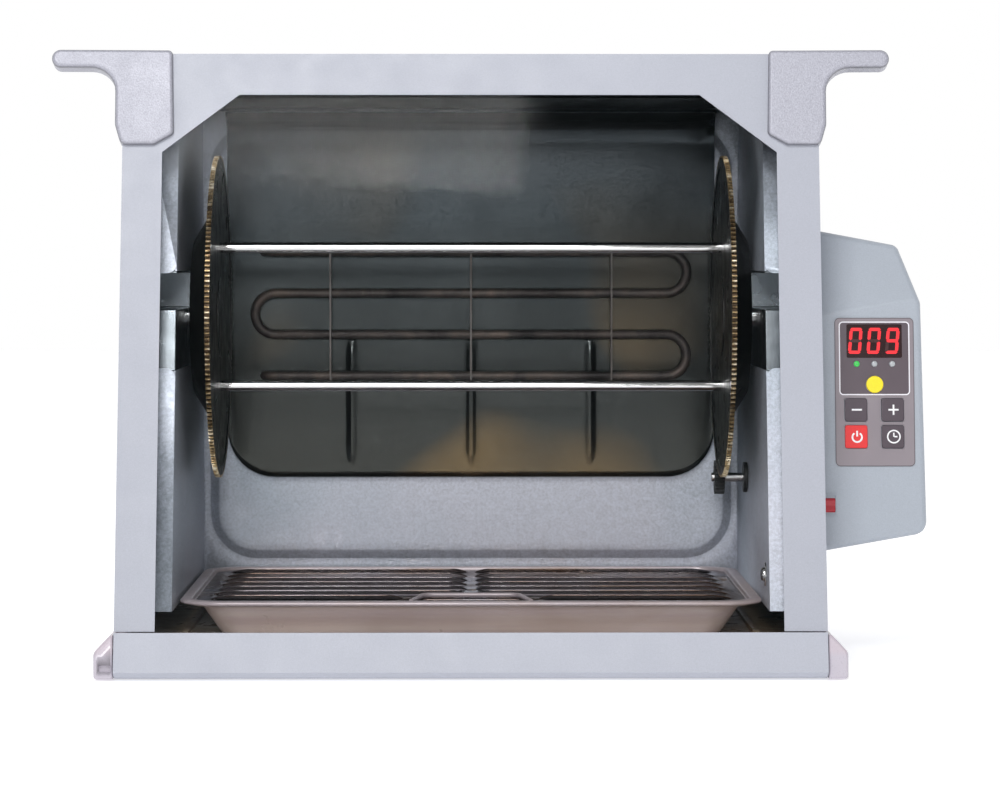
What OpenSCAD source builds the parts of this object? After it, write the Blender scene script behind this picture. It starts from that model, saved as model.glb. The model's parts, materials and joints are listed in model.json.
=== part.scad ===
// Countertop rotisserie oven: a leaning glass door in front of a heated cavity, a spit with two toothed
// wheels, a drive motor and control pod on the right side, and a drip tray with a louvred grate.
// The geometry is drawn with X = 0 in the middle of the cavity, Y = 0 on the spit axis, Y to the back and
// Z = 0 on the table. Each node is then moved so that the origin is the middle of the whole oven's base.

/* [Casing] */
// Outer width of the casing
case_w = 418; // [414:1:420]
// Height of the flat top above the table
case_h = 368; // [364:1:370]
// Distance from the spit axis to the back of the casing
case_back = 158; // [156:1:162]
// Height at which the rear chamfer starts
chamfer_z = 316; // [310:1:324]
// Distance from the spit axis to the upper edge of the rear chamfer
chamfer_y = 131; // [129:1:135]
// Thickness of the casing's sheet
case_t = 1.5; // [1.2:0.1:1.6]

/* [Cavity] */
// Width between the side liners
cavity_w = 364; // [362:1:366]
// Height of the cavity floor's upper face
floor_z = 20; // [20:0.5:20.5]
// Height of the cavity ceiling
ceiling_z = 353; // [350:1:354]
// Distance from the spit axis to the back liner
cavity_back = 120; // [119:0.5:122]
// Thickness of the liner sheet
sheet = 1; // [0.8:0.1:1]

/* [Door] */
// Width of the glass
door_w = 429; // [428:0.5:430]
// Lean of the door from vertical, in degrees
door_lean = 12.6; // [12:0.1:13]
// Distance from the spit axis forward to the outer face of the glass
door_reach = 127; // [126:0.5:128]
// Height of the glass's top edge, measured along the door
glass_top = 388.9; // [386:0.1:389]
// Thickness of the glass
glass_t = 4; // [3.5:0.1:4]
// Half width of the clear window
window_half = 189.2; // [188:0.1:191]
// Reach of the grips from the middle of the oven
grip_reach = 258.6; // [256:0.1:262]

/* [Spit] */
// Height of the spit axis above the table
spit_z = 215.5; // [215:0.5:216]
// Teeth of each spit wheel
wheel_teeth = 200; // [200:20:200]
// Teeth of the drive pinion
pinion_teeth = 20; // [20:1:20]
// Tooth module, which is the pitch diameter divided by the number of teeth
tooth_module = 1.03; // [1.02:0.01:1.03]
// Distance from the middle to the middle of each wheel
wheel_x = 163; // [162.5:0.5:163]
// Distance of each rod from the spit axis
rod_offset = 44.6; // [40:0.1:50]
// Radius of the rods
rod_r = 3.5; // [3:0.1:4]
// Radius of the stubs that turn in the seats
stub_r = 6; // [5.5:0.1:6]

/* [Control pod] */
// Reach of the pod from the middle of the oven
pod_x = 286.5; // [285:0.5:289]
// Lean of the control panel from vertical, in degrees
panel_lean = 8.2; // [7:0.1:9]
// Thickness of the pod's wall
pod_t = 2.2; // [2:0.1:2.4]
// Travel of the keys
key_travel = 1; // [0.6:0.1:1.2]
// Tilt of the power rocker to each side, in degrees
rocker_tilt = 7; // [5:1:8]

/* [Drip tray] */
// Width of the tray over its rim
tray_w = 360; // [356:1:360]
// Height of the rim above the table
rim_z = 43.5; // [43:0.5:44.5]
// Slots in each column of the grate
grate_rows = 7; // [5:1:7]

/* [Hidden] */
$fn = 64;

// Slack that keeps cuts from ending on a face, and the gap of a running fit
cut = 1;
run_fit = 0.06;

// Casing
side_x = case_w / 2;
pan_z = 10;
pan_top = pan_z + case_t;
casing_front_depth = 11;
foot_inner_x = 190;
foot_outer_x = 226.6;

// Door: hinge place in the door's own frame, and the foot of the outer glass plane
door_foot_y = -(door_reach + spit_z * tan(door_lean));
hinge_depth = 7;
hinge_up = 21;
rail_top = 29.2;
rail_front = -2;
rail_back = 14;
handle_front = 5;
handle_back = 9;
handle_top = 390.8;
grip_r = 5.6;
window_shift = -0.8;
pin_r = 2.5;
pin_end_x = 219.5;
hinge_y = door_foot_y + hinge_depth * cos(door_lean) + hinge_up * sin(door_lean);
hinge_z = -hinge_depth * sin(door_lean) + hinge_up * cos(door_lean);

// The rail's lower edge follows this radius about the hinge, so that it clears the table as the door opens
rail_r = hinge_z - 0.6;

// Liner flanges lie behind the door plane by this depth
flange_depth = 25;
liner_x = cavity_w / 2;
notch_top = 28.5;
notch_bottom = -30;
ledge_up = 6;
guide_x = liner_x + 24;

// Spit and drive
wheel_r = tooth_module * wheel_teeth / 2;
pinion_r = tooth_module * pinion_teeth / 2;
wheel_t = 3;
drive_angle = 20;
drive_gap = wheel_r + pinion_r + 0.1;
drive_y = drive_gap * sin(drive_angle);
drive_z = spit_z - drive_gap * cos(drive_angle);
shaft_r = 3;

// Heating element: four level runs joined by half rings
element_y = 104;
element_r = 3.2;
run_gap = 28;
run_half = 132;
terminal_x = -140;

// Control pod
panel_y = -54;
panel_z = 219.5;
overlay_t = 0.6;
pod_split_y = 20;
panel_cx = 254.5;
key_dx = 11.55;
key_size = [14.2, 14.5];
key_upper_v = -62.4;
key_lower_v = -79.4;
button_v = -46.3;
led_v = -33.2;
led_dx = 11.2;
rocker_x = 223;
rocker_v = -122.3;
rocker_size = [13, 12];

// Middle of the whole oven: the left grip, the pod, the door's foot and the cord gland bound it
gland_reach = 6;
rail_foot_up = hinge_up - sqrt(pow(rail_r, 2) - pow(hinge_depth - rail_front, 2));
rail_front_y = door_foot_y + rail_front * cos(door_lean) + rail_foot_up * sin(door_lean);
mid_x = (pod_x - grip_reach) / 2;
mid_y = (case_back + gland_reach + rail_front_y) / 2;

// Y of the plane that lies a depth d behind the door's outer face, at height z
function front_y(z, d) = door_foot_y + z * tan(door_lean) + d / cos(door_lean);

// Height along the door of a point at height z and depth d
function door_up(z, d) = (z + d * sin(door_lean)) / cos(door_lean);

function unit(v) = v / norm(v);
function inward(a, b) = let (u = unit(b - a)) [-u[1], u[0]];

// A counter-clockwise convex outline moved inwards by t
function inset(pts, t) = [
    for (i = [0:len(pts) - 1])
        let (
            n1 = inward(pts[(i + len(pts) - 1) % len(pts)], pts[i]),
            n2 = inward(pts[i], pts[(i + 1) % len(pts)])
        )
        pts[i] + (n1 + n2) * t / (1 + n1 * n2)
];

// Points of an arc from angle a0 to a1
function arc(c, r, a0, a1, n = 8) = [
    for (i = [0:n]) let (a = a0 + (a1 - a0) * i / n) c + r * [cos(a), sin(a)]
];

case_outline = [
    [-138, pan_top], [case_back, pan_top], [case_back, chamfer_z], [chamfer_y, case_h],
    [front_y(case_h, casing_front_depth), case_h], [front_y(44, casing_front_depth), 44], [-138, 30],
];

// ---------------------------------------------------------------- frames and plain shapes

module placed() translate([-mid_x, -mid_y, 0]) children();

module on_door() translate([0, door_foot_y, 0]) rotate([-door_lean, 0, 0]) children();

module on_panel() translate([0, panel_y, panel_z]) rotate([-panel_lean, 0, 0]) children();

module at_spit() translate([0, 0, spit_z]) children();

module at_drive() translate([0, drive_y, drive_z]) children();

module left_hand() mirror([1, 0, 0]) children();

module both_sides() {
    children();
    mirror([1, 0, 0]) children();
}

// Extrusions of a 2D shape: (y, z) along X, and (x, z) along Y
module along_x(x0, x1) translate([x0, 0, 0]) rotate([90, 0, 90]) linear_extrude(x1 - x0) children();

module along_y(y0, y1) translate([0, y1, 0]) rotate([90, 0, 0]) linear_extrude(y1 - y0) children();

module rod_x(r, x0, x1) translate([x0, 0, 0]) rotate([0, 90, 0]) cylinder(r = r, h = x1 - x0);

module rod_y(r, y0, y1) translate([0, y0, 0]) rotate([-90, 0, 0]) cylinder(r = r, h = y1 - y0);

module rod_z(r, z0, z1) translate([0, 0, z0]) cylinder(r = r, h = z1 - z0);

module box(a, b) translate(a) cube(b - a);

module flat(a, b) translate(a) square(b - a);

module round_flat(a, b, r) {
    flat([a[0] + r, a[1]], [b[0] - r, b[1]]);
    flat([a[0], a[1] + r], [b[0], b[1] - r]);
    for (x = [a[0] + r, b[0] - r], y = [a[1] + r, b[1] - r])
        translate([x, y]) circle(r);
}

module centred_flat(c, size, r) round_flat(c - size / 2, c + size / 2, r);

// ---------------------------------------------------------------- base

module base_pan() color("silver") {
    box([-side_x, -138, pan_z], [side_x, case_back, pan_top]);
    box([-side_x + 4, -138, pan_z], [side_x - 4, -136.8, floor_z - sheet]);
    for (x = [-150, 150], y = [-100, 100])
        translate([x, y, 0]) rod_z(8, pan_top, floor_z - sheet);
}

// The skirt's profile, with its shoulder sloping down and out
module skirt_profile() polygon([
    [214.9, 1], [foot_outer_x, 1], [foot_outer_x, 15.5], [225, 18.5], [216.2, 27.4], [214.9, 27.4],
]);

module foot() {
    difference() {
        union() {
            along_y(-174, foot_back) skirt_profile();
            along_y(-138, foot_back) {
                flat([foot_inner_x, 1], [214.9, pan_z]);
                flat([side_x + 0.5, pan_z], [214.9, 27.4]);
            }
        }
        translate([0, hinge_y, hinge_z]) rod_x(pin_r + run_fit, 214, pin_end_x + 0.5);
        for (y = foot_pad_y)
            translate([208, y, 0]) rod_z(8, 0, 3);
    }
}
foot_pad_y = [-115, 125];
foot_back = case_back - 4;

module foot_left() color("mistyrose") difference() {
    left_hand() foot();
    box([-foot_outer_x + 3.4, -175, 6], [-214, -171.5, 9.8]);
}

module foot_right() color("mistyrose") foot();

module rubber_feet() color("dimgray")
    for (side = [-1, 1], y = foot_pad_y)
        translate([side * 208, y, 0]) rod_z(8, 0, 3);

// ---------------------------------------------------------------- casing

module case_section() difference() {
    polygon(case_outline);
    polygon(inset(case_outline, case_t));
}

module side_panel() difference() {
    union() {
        along_x(side_x - case_t, side_x) polygon(case_outline);
        on_door() box(
            [side_x - 9, casing_front_depth, door_up(44, casing_front_depth)],
            [side_x - case_t, casing_front_depth + case_t, door_up(case_h - case_t, casing_front_depth)]);
    }
    for (p = side_screws)
        translate([0, p[0], p[1]]) rod_x(1.6, side_x - case_t - cut, side_x + cut);
}
side_screws = [[-120, 60], [142, 45], [142, 295], [-60, 350]];

module side_panel_left() color("lightsteelblue") left_hand() side_panel();

module side_panel_right() color("lightsteelblue") difference() {
    side_panel();
    at_drive() rod_x(8, side_x - case_t - cut, side_x + cut);
    translate([0, -20, 150]) rod_x(9, side_x - case_t - cut, side_x + cut);
}

// Bent sheet: flat top, rear slope with louvre slots and a turned-down front edge
module top_panel() color("lightsteelblue") difference() {
    union() {
        along_x(-side_x + case_t, side_x - case_t) intersection() {
            case_section();
            flat([-70, chamfer_z], [case_back + cut, case_h + cut]);
        }
        along_x(-side_x + case_t, side_x - case_t) flat(
            [front_y(case_h, casing_front_depth), case_h - case_t], [-70, case_h]);
        along_x(-side_x + 9, side_x - 9) polygon([
            for (p = [[ceiling_z + 2, 0], [ceiling_z + 2, case_t], [case_h, case_t], [case_h, 0]])
                [front_y(p[0], casing_front_depth + p[1]), p[0]]
        ]);
    }
    for (x = [-120:30:120], k = [0:2])
        translate([x, chamfer_y, case_h]) rotate([-slope_angle, 0, 0])
            translate([-10, 12 + 14 * k, -5]) cube([20, 4, 10]);
}
slope_angle = atan2(case_h - chamfer_z, case_back - chamfer_y);

module rear_panel() color("lightsteelblue") difference() {
    box([-side_x + case_t, case_back - case_t, pan_top], [side_x - case_t, case_back, chamfer_z]);
    for (side = [-1, 1], k = [0:7])
        along_y(case_back - case_t - cut, case_back + cut)
            centred_flat([side * 75, 175 + 11 * k], [70, 4], 1.99);
    translate([gland_x, 0, gland_z]) rod_y(8, case_back - case_t - cut, case_back + cut);
    for (p = rear_screws)
        translate([p[0], 0, p[1]]) rod_y(1.6, case_back - case_t - cut, case_back + cut);
}
gland_x = 150;
gland_z = 45;
rear_screws = [for (x = [-195, 0, 195], z = [25, 300]) [x, z]];

// A pan-head screw: the head stands on the plane and the shank goes in
module pan_screw(axis_len = 6, head_r = 3.4, head_h = 1.6) {
    rod_z(1.5, -axis_len, 0);
    rod_z(head_r, 0, head_h);
}

module case_screws() color("gainsboro") {
    for (side = [-1, 1], p = side_screws)
        translate([side * side_x, p[0], p[1]]) rotate([0, side * 90, 0]) pan_screw();
    for (p = rear_screws)
        translate([p[0], case_back, p[1]]) rotate([-90, 0, 0]) pan_screw();
}

module cord_gland() color("dimgray") translate([gland_x, 0, gland_z]) difference() {
    union() {
        rod_y(8, case_back - 10, case_back);
        rod_y(11, case_back, case_back + 2.5);
        rod_y(7, case_back + 2.5, case_back + gland_reach);
        rod_y(10.5, case_back - 4, case_back - case_t);
    }
    rod_y(gland_r, case_back - 10 - cut, case_back + gland_reach + cut);
}
gland_r = 3.6;

module door_bumpers() color("dimgray") both_sides() on_door()
    for (up = [70, 300])
        translate([side_x - 5, 0, up]) rod_y(3.5, glass_t + 0.4, casing_front_depth);

// ---------------------------------------------------------------- cavity liners

guide_outline = [
    [front_y(spit_z + notch_bottom - 1.5, flange_depth + sheet), spit_z + notch_bottom - 1.5],
    [16, spit_z + notch_bottom - 1.5],
    [16, spit_z + notch_top + 1.5],
    [front_y(spit_z + notch_top + 1.5, flange_depth + sheet), spit_z + notch_top + 1.5],
];
liner_low_z = 38.5;
web_depth = flange_depth - sheet / 2;
side_liner_screw = [-112, 58.5];

// Front flange strips above and below the spit channel, with rounded ends
module flange_strip(z0, z1, round_top) {
    r = 6;
    x1 = side_x - case_t - 0.1;
    polygon(round_top
        ? concat([[x1, z1], [liner_x + r, z1]], arc([liner_x + r, z1 - r], r, 90, 180),
            [[liner_x, z0], [x1, z0]])
        : concat([[x1, z0], [x1, z1], [liner_x, z1]], arc([liner_x + r, z0 + r], r, 180, 270)));
}

module liner_side() {
    along_x(liner_x, liner_x + sheet) difference() {
        polygon([
            [cavity_back, liner_low_z], [cavity_back, ceiling_z],
            [front_y(ceiling_z, web_depth), ceiling_z], [front_y(liner_low_z, web_depth), liner_low_z],
        ]);
        polygon(guide_outline);
        flat([-150, spit_z + notch_bottom - 1.5], [-93, spit_z + notch_top + 1.5]);
    }
    on_door() along_y(flange_depth - sheet, flange_depth) {
        flange_strip(door_up(spit_z + notch_top, flange_depth), door_up(case_h - 3, flange_depth), false);
        flange_strip(door_up(liner_low_z, flange_depth), door_up(spit_z + notch_bottom, flange_depth), true);
    }
}

module liner_left() color("lightgray") left_hand() liner_side();

module liner_right() color("lightgray") difference() {
    liner_side();
    at_drive() rod_x(bush_r, liner_x - cut, liner_x + sheet + cut);
    translate([0, side_liner_screw[0], side_liner_screw[1]])
        rod_x(1.6, liner_x - cut, liner_x + sheet + cut);
}
bush_r = 7;

// Outline of the pressed groove in the back liner
module groove_outline(grow) centred_flat(
    [0, (52 + 400) / 2], [348 + 2 * grow, 400 - 52 + 2 * grow], 27 + grow);

module groove_band(half) intersection() {
    difference() {
        groove_outline(half);
        groove_outline(-half);
    }
    flat([-200, 30], [200, ceiling_z - 12 + half]);
}

module liner_back() color("lightgray") difference() {
    union() {
        along_y(cavity_back, cavity_back + sheet)
            flat([-liner_x - sheet, floor_z], [liner_x + sheet, ceiling_z]);
        along_y(cavity_back, cavity_back + sheet + 1) groove_band(4);
    }
    along_y(cavity_back - cut, cavity_back + 1) groove_band(3);
    for (z = [-1.5, 1.5] * run_gap)
        translate([terminal_x, 0, spit_z + z]) rod_y(6, cavity_back - cut, cavity_back + 3);
    for (p = back_liner_screws)
        translate([p[0], 0, p[1]]) rod_y(1.6, cavity_back - cut, cavity_back + 3);
}
back_liner_screws = [[-120, 30], [120, 30]];

module liner_top() color("lightgray") {
    along_x(-liner_x - sheet, liner_x + sheet) polygon([
        [front_y(ceiling_z, flange_depth), ceiling_z], [cavity_back + sheet, ceiling_z],
        [cavity_back + sheet, ceiling_z + sheet],
        [front_y(ceiling_z + sheet, flange_depth), ceiling_z + sheet],
    ]);
    along_x(-liner_x + 0.1, liner_x - 0.1) polygon([
        for (p = [[ceiling_z, -sheet], [ceiling_z, 0.5], [case_h - 3, 0.5], [case_h - 3, -sheet]])
            [front_y(p[0], flange_depth + p[1]), p[0]]
    ]);
}

// Floor with two pressed runners that the tray slides between
module liner_floor() color("silver") {
    box([-side_x + 3, -136, floor_z - sheet], [side_x - 3, cavity_back, floor_z]);
    for (side = [-1, 1])
        along_y(-130, 112) flat([side * 177 - 2, floor_z], [side * 177 + 2, floor_z + 2.5]);
}

module liner_screws() color("gainsboro") {
    translate([liner_x, side_liner_screw[0], side_liner_screw[1]]) rotate([0, -90, 0]) {
        rod_z(7.5, 0, 1);
        translate([0, 0, 1]) pan_screw(8, 4.2, 2.2);
    }
    for (p = back_liner_screws)
        translate([p[0], cavity_back, p[1]]) rotate([90, 0, 0]) pan_screw();
}

// Channel that leads each spit stub in from the front and lets it drop into a half-round seat
module spit_guide() difference() {
    along_x(liner_x, guide_x) polygon(guide_outline);
    along_x(liner_x - cut, guide_x - 1.5)
        flat([-130, spit_z + ledge_up], [14, spit_z + notch_top]);
    at_spit() along_x(liner_x - cut, guide_x - 1.5) {
        circle(stub_r + run_fit);
        flat([-stub_r - run_fit, 0], [stub_r + run_fit, ledge_up + cut]);
    }
}

module spit_guide_left() color("darkslategray") left_hand() spit_guide();

module spit_guide_right() color("darkslategray") spit_guide();

// ---------------------------------------------------------------- heating

reflector_y = 111;
reflector_half = 165;
reflector_low = spit_z - 110.8;
reflector_top = spit_z + 136;
reflector_bend = 20;

// Polished sheet that curves forward under the ceiling
module heat_reflector() color("slategray") difference() {
    union() {
        intersection() {
            along_x(-reflector_half, reflector_half) {
                flat([reflector_y, reflector_low - cut],
                    [reflector_y + sheet, reflector_top - reflector_bend]);
                translate([reflector_y + sheet - reflector_bend, reflector_top - reflector_bend])
                    intersection() {
                        difference() {
                            circle(reflector_bend);
                            circle(reflector_bend - sheet);
                        }
                        square(reflector_bend);
                    }
            }
            along_y(60, 130)
                round_flat([-reflector_half, reflector_low], [reflector_half, 500], 32);
        }
        for (x = [-80.8, 0, 80.8])
            along_y(reflector_y - 1.4, reflector_y) centred_flat([x, spit_z - 60], [7, 78], 3.49);
    }
    for (z = [-1.5, 1.5] * run_gap)
        translate([terminal_x, 0, spit_z + z]) rod_y(6, reflector_y - 4, reflector_y + 4);
    for (x = [-152.5, 152.5])
        translate([x, 0, spit_z + 87]) rod_y(1.5, reflector_y - 4, reflector_y + 4);
}

// Two bent clips that hold the reflector off the back liner
module reflector_clips() color("lightgray") for (x = [-152.5, 152.5]) {
    along_y(reflector_y - 2, reflector_y) centred_flat([x, spit_z + 87], [22, 11], 2);
    box([x - 8, reflector_y + sheet, spit_z + 83], [x + 8, cavity_back, spit_z + 91]);
    translate([x, 0, spit_z + 87]) rod_y(1.5, reflector_y - 1, reflector_y + sheet + 1);
}

module element_torus(radius) rotate_extrude() translate([radius, 0]) circle(element_r);

module half_ring(x, z, side) translate([x, element_y, z]) intersection() {
    rotate([90, 0, 0]) element_torus(run_gap / 2);
    translate([side * 20, 0, 0]) cube(40, center = true);
}

module element_terminal(z) {
    bend = 8;
    translate([-run_half, element_y + bend, z]) intersection() {
        element_torus(bend);
        translate([-10, -10, 0]) cube(20, center = true);
    }
    translate([terminal_x, 0, z]) rod_y(element_r, element_y + bend, 134);
    translate([terminal_x, 0, z]) rod_y(1.6, 134, 144);
}

module heating_element() color("dimgray") {
    for (k = [-1.5:1:1.5])
        translate([0, element_y, spit_z + k * run_gap]) rod_x(element_r, -run_half, run_half);
    half_ring(run_half, spit_z + run_gap, 1);
    half_ring(run_half, spit_z - run_gap, 1);
    half_ring(-run_half, spit_z, -1);
    for (k = [-1.5, 1.5])
        element_terminal(spit_z + k * run_gap);
}

module element_insulators() color("white") for (k = [-1.5, 1.5])
    translate([terminal_x, 0, spit_z + k * run_gap]) difference() {
        union() {
            rod_y(6, reflector_y + sheet + 0.3, 127);
            rod_y(9, cavity_back + sheet + 1, cavity_back + sheet + 3.5);
        }
        rod_y(element_r + 0.05, 100, 130);
    }

module element_clips() color("silver") for (x = [-95, 0, 95])
    difference() {
        box([x - 0.6, 99, spit_z - 48], [x + 0.6, reflector_y, spit_z + 48]);
        for (k = [-1.5:1:1.5])
            translate([0, element_y, spit_z + k * run_gap]) rod_x(element_r + 0.05, x - 2, x + 2);
        if (x == 0)
            box([-5, reflector_y - 1.4, spit_z - 100], [5, reflector_y + 1, spit_z - 20]);
    }

module thermal_cutout() color("black") translate([60, 0, spit_z + 50]) {
    rod_y(12, cavity_back + sheet, cavity_back + sheet + 2);
    rod_y(9, cavity_back + sheet + 2, cavity_back + sheet + 9);
    for (x = [-5, 5])
        box([x - 2, cavity_back + sheet + 9, -0.4], [x + 2, cavity_back + sheet + 17, 0.4]);
}

// ---------------------------------------------------------------- control pod and drive

pod_face = [
    [side_x, 67.4], [pod_x - 4, 80.2], [pod_x, 85], [284.3, 224.8], [271.2, 261.3], [side_x, 273.2],
];
pod_inner_face = concat([[side_x - 20, 63.8]], [for (i = [1:4]) pod_face[i]], [[side_x - 20, 276.7]]);
function panel_front_y(z) = panel_y + (z - panel_z) * tan(panel_lean);
pod_side = [
    [panel_front_y(50), 50], [85, 50], [85, 252], [66, 280], [panel_front_y(280), 280],
];

// Outer or inner solid of the pod, with its sloping brow cut by a tilted plane
module pod_solid(face, t) difference() {
    intersection() {
        along_y(-100, 100) polygon(inset(face, t));
        along_x(side_x - 30, pod_x + 10) polygon(inset(pod_side, t));
    }
    translate([panel_cx, panel_front_y(223), 223]) rotate([0, -6.9, 0]) rotate([-26, 0, 0])
        translate([-90, t - 60, -60]) cube([180, 60, 160]);
}

module pod_shell() intersection() {
    difference() {
        pod_solid(pod_face, 0);
        pod_solid(pod_inner_face, pod_t);
    }
    box([side_x, -120, 0], [pod_x + 5, 120, 300]);
}

module key_at(i) {
    x = panel_cx - 0.5 + (i % 2 == 0 ? -key_dx : key_dx);
    v = i < 2 ? key_upper_v : key_lower_v;
    translate([x, v]) children();
}

window_size = [35, 21.4];
window_c = [panel_cx, -18.7];

// Openings of the panel: display, indicator lamps, round button, keys and rocker
module panel_openings(with_rocker = true) {
    centred_flat(window_c, window_size, 1);
    for (k = [-1:1])
        translate([panel_cx + k * led_dx, led_v]) circle(2);
    translate([panel_cx, button_v]) circle(5.7);
    for (i = [0:3])
        key_at(i) centred_flat([0, 0], key_size + [0.6, 0.6], 1.8);
    if (with_rocker)
        centred_flat([rocker_x, rocker_v], rocker_size + [0.8, 0.8], 0.5);
}

module pod_front() color("lightslategray") difference() {
    intersection() {
        pod_shell();
        box([0, -120, 0], [320, pod_split_y, 300]);
    }
    on_panel() along_y(-cut, pod_t + cut) panel_openings();
}

module pod_rear() color("lightslategray") difference() {
    intersection() {
        pod_shell();
        box([0, pod_split_y, 0], [320, 120, 300]);
    }
    for (k = [0:5])
        along_y(80, 90) centred_flat([248, 130 + 10 * k], [36, 3.6], 1.79);
}

module control_overlay() color("rosybrown") difference() {
    on_panel() along_y(-overlay_t, 0) difference() {
        centred_flat([panel_cx, -51], [50, 94], 3);
        panel_openings(false);
    }
}

module display_window() color([0.3, 0.02, 0.02]) on_panel() along_y(-overlay_t, pod_t)
    centred_flat(window_c, window_size - [0.1, 0.1], 1);

module led_display() color("maroon") on_panel() {
    box([panel_cx - 17, pod_t + 0.2, -28.5], [panel_cx + 17, 9, -9]);
}

module indicator_leds() color("limegreen") on_panel() for (k = [-1:1])
    translate([panel_cx + k * led_dx, 0, led_v]) {
        rod_y(1.85, 0, 7);
        rod_y(2.4, pod_t + 0.4, 9);
        intersection() {
            translate([0, 0.6, 0]) sphere(1.85);
            rod_y(1.85, -1.25, 0);
        }
    }

board_depth = 9;

module control_board() color("seagreen") on_panel() {
    box([panel_cx - 24, board_depth, -100], [panel_cx + 24, board_depth + 1.6, -4]);
    for (i = [0:3])
        along_y(board_depth - 3, board_depth) key_at(i) flat([-3, -3], [3, 3]);
    along_y(board_depth - 3, board_depth) translate([panel_cx, button_v]) flat([-3, -3], [3, 3]);
    box([panel_cx - 18, board_depth + 1.6, -60], [panel_cx + 1, board_depth + 17, -44]);
    translate([panel_cx + 12, 0, -75]) rod_y(6, board_depth + 1.6, board_depth + 14);
    box([panel_cx - 20, board_depth + 1.6, -92], [panel_cx - 6, board_depth + 8, -84]);
    for (x = [-21, 21], v = [-97, -7])
        translate([panel_cx + x, 0, v]) rod_y(2.5, pod_t, board_depth);
}

module switch_bezel() color("dimgray") on_panel() {
    difference() {
        union() {
            along_y(-0.8, 0) centred_flat([rocker_x, rocker_v], rocker_size + [1.8, 1.8], 0.8);
            along_y(0, 14) centred_flat([rocker_x, rocker_v], rocker_size + [0.8, 0.8], 0.5);
        }
        along_y(-2, 12) centred_flat([rocker_x, rocker_v], rocker_size - [0.6, 0], 0.2);
    }
}

module power_rocker() color("crimson") on_panel() translate([0, 3.2, rocker_v]) rotate([rocker_tilt, 0, 0])
    along_x(rocker_x - rocker_size[0] / 2 + 0.6, rocker_x + rocker_size[0] / 2 - 0.6) intersection() {
        polygon([[-5.4, -5.2], [-3.9, 0], [-5.4, 5.2], [4, 3], [4, -3]]);
        circle(5.7);
    }

module key_cap(i) on_panel() along_y(-overlay_t - 1.2, board_depth - 3 - key_travel - 0.2)
    key_at(i) centred_flat([0, 0], key_size, 1.5);

module minus_key() color("dimgray") key_cap(0);

module plus_key() color("dimgray") key_cap(1);

module off_key() color("firebrick") key_cap(2);

module hours_key() color("dimgray") key_cap(3);

module function_button() color("gold") on_panel() translate([panel_cx, 0, button_v])
    rod_y(5.4, -overlay_t - 1.2, board_depth - 3 - key_travel - 0.2);

motor_x = 216;

module motor_bracket() color("silver") at_drive() difference() {
    union() {
        along_x(side_x, side_x + 1.5) centred_flat([0, 0], [74, 50], 6);
        for (dy = [-29, 29])
            translate([0, dy, 0]) rod_x(4, side_x, motor_x);
    }
    rod_x(9, side_x - cut, side_x + 4);
}

module drive_motor() color("darkgray") at_drive() difference() {
    union() {
        rod_x(27, motor_x + 1, motor_x + 13);
        rod_x(24.5, motor_x + 13, motor_x + 31);
        along_x(motor_x, motor_x + 1) centred_flat([0, 0], [68, 20], 9.9);
        rod_x(6, motor_x - 3, motor_x);
        along_x(motor_x + 14, motor_x + 28) flat([-8, -30], [8, -20]);
    }
    rod_x(shaft_r + 0.1, motor_x - 3 - cut, motor_x + 10);
}

module shaft_bush() color("beige") at_drive() difference() {
    union() {
        rod_x(bush_r, liner_x - 1.5, liner_x + 9);
        rod_x(10, liner_x - 2.5, liner_x);
    }
    rod_x(shaft_r + run_fit, liner_x - 3, liner_x + 10);
}

// ---------------------------------------------------------------- door

module handle_holes(r, y0, y1) for (up = [345, 374])
    translate([200, 0, up]) rod_y(r, y0, y1);

module door_glass() color([0.7, 0.8, 0.85, 0.3]) on_door() difference() {
    along_y(0, glass_t) flat([-door_w / 2, 12.2], [door_w / 2, glass_top]);
    both_sides() handle_holes(3, -1, 5);
}

border_t = 0.8;

// Printed border: an upside-down U with chamfered inner corners
module door_border() color("lightsteelblue") on_door() difference() {
    along_y(-border_t, 0) difference() {
        flat([-door_w / 2, rail_top + 0.8], [door_w / 2, glass_top]);
        translate([window_shift, 0]) polygon([
            [-window_half, 0], [window_half, 0], [window_half, 326.4], [142, 362.8], [-142, 362.8],
            [-window_half, 326.4],
        ]);
    }
    both_sides() handle_holes(3, -2, 1);
}

// Corner cap with a sideways grip
handle_outline = concat(
    [[184.6, glass_top + 0.2]],
    arc([grip_reach - grip_r, handle_top - grip_r], grip_r, 90, -90, 12),
    arc([234.6, 363], 15.3, 90, 180),
    [[219.1, 343.2], [215.6, 332.1], [214.7, 330.5], [194.9, 330.5], [182.8, 337.3]]
);

module handle() on_door() difference() {
    along_y(-handle_front, handle_back) polygon(handle_outline);
    box([170, -border_t, 300], [door_w / 2, glass_t, glass_top]);
    handle_holes(2, -2.5, handle_back + cut);
}

module door_handle_left() color("gainsboro") left_hand() handle();

module door_handle_right() color("gainsboro") handle();

module handle_screws() color("silver") both_sides() on_door() {
    handle_holes(1.9, -2, handle_back + 0.1);
    handle_holes(3.6, handle_back, handle_back + 1.8);
}

module door_bottom_rail() color("lightsteelblue") on_door() difference() {
    along_x(-door_w / 2, door_w / 2) polygon(concat(
        arc([hinge_depth, hinge_up], rail_r, 180 + acos((hinge_depth - rail_front) / rail_r),
            270 + asin((rail_back - hinge_depth) / rail_r)),
        [[rail_back, 25], [glass_t, 27], [glass_t, 12.2], [0, 12.2], [0, rail_top], [rail_front, rail_top]]
    ));
    both_sides() translate([0, hinge_depth, hinge_up]) rod_x(pin_r, door_w / 2 - 12, door_w / 2 + cut);
}

module hinge_pins() color("silver") both_sides() translate([0, hinge_y, hinge_z])
    rod_x(pin_r, door_w / 2 - 12, pin_end_x);

// ---------------------------------------------------------------- spit

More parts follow.
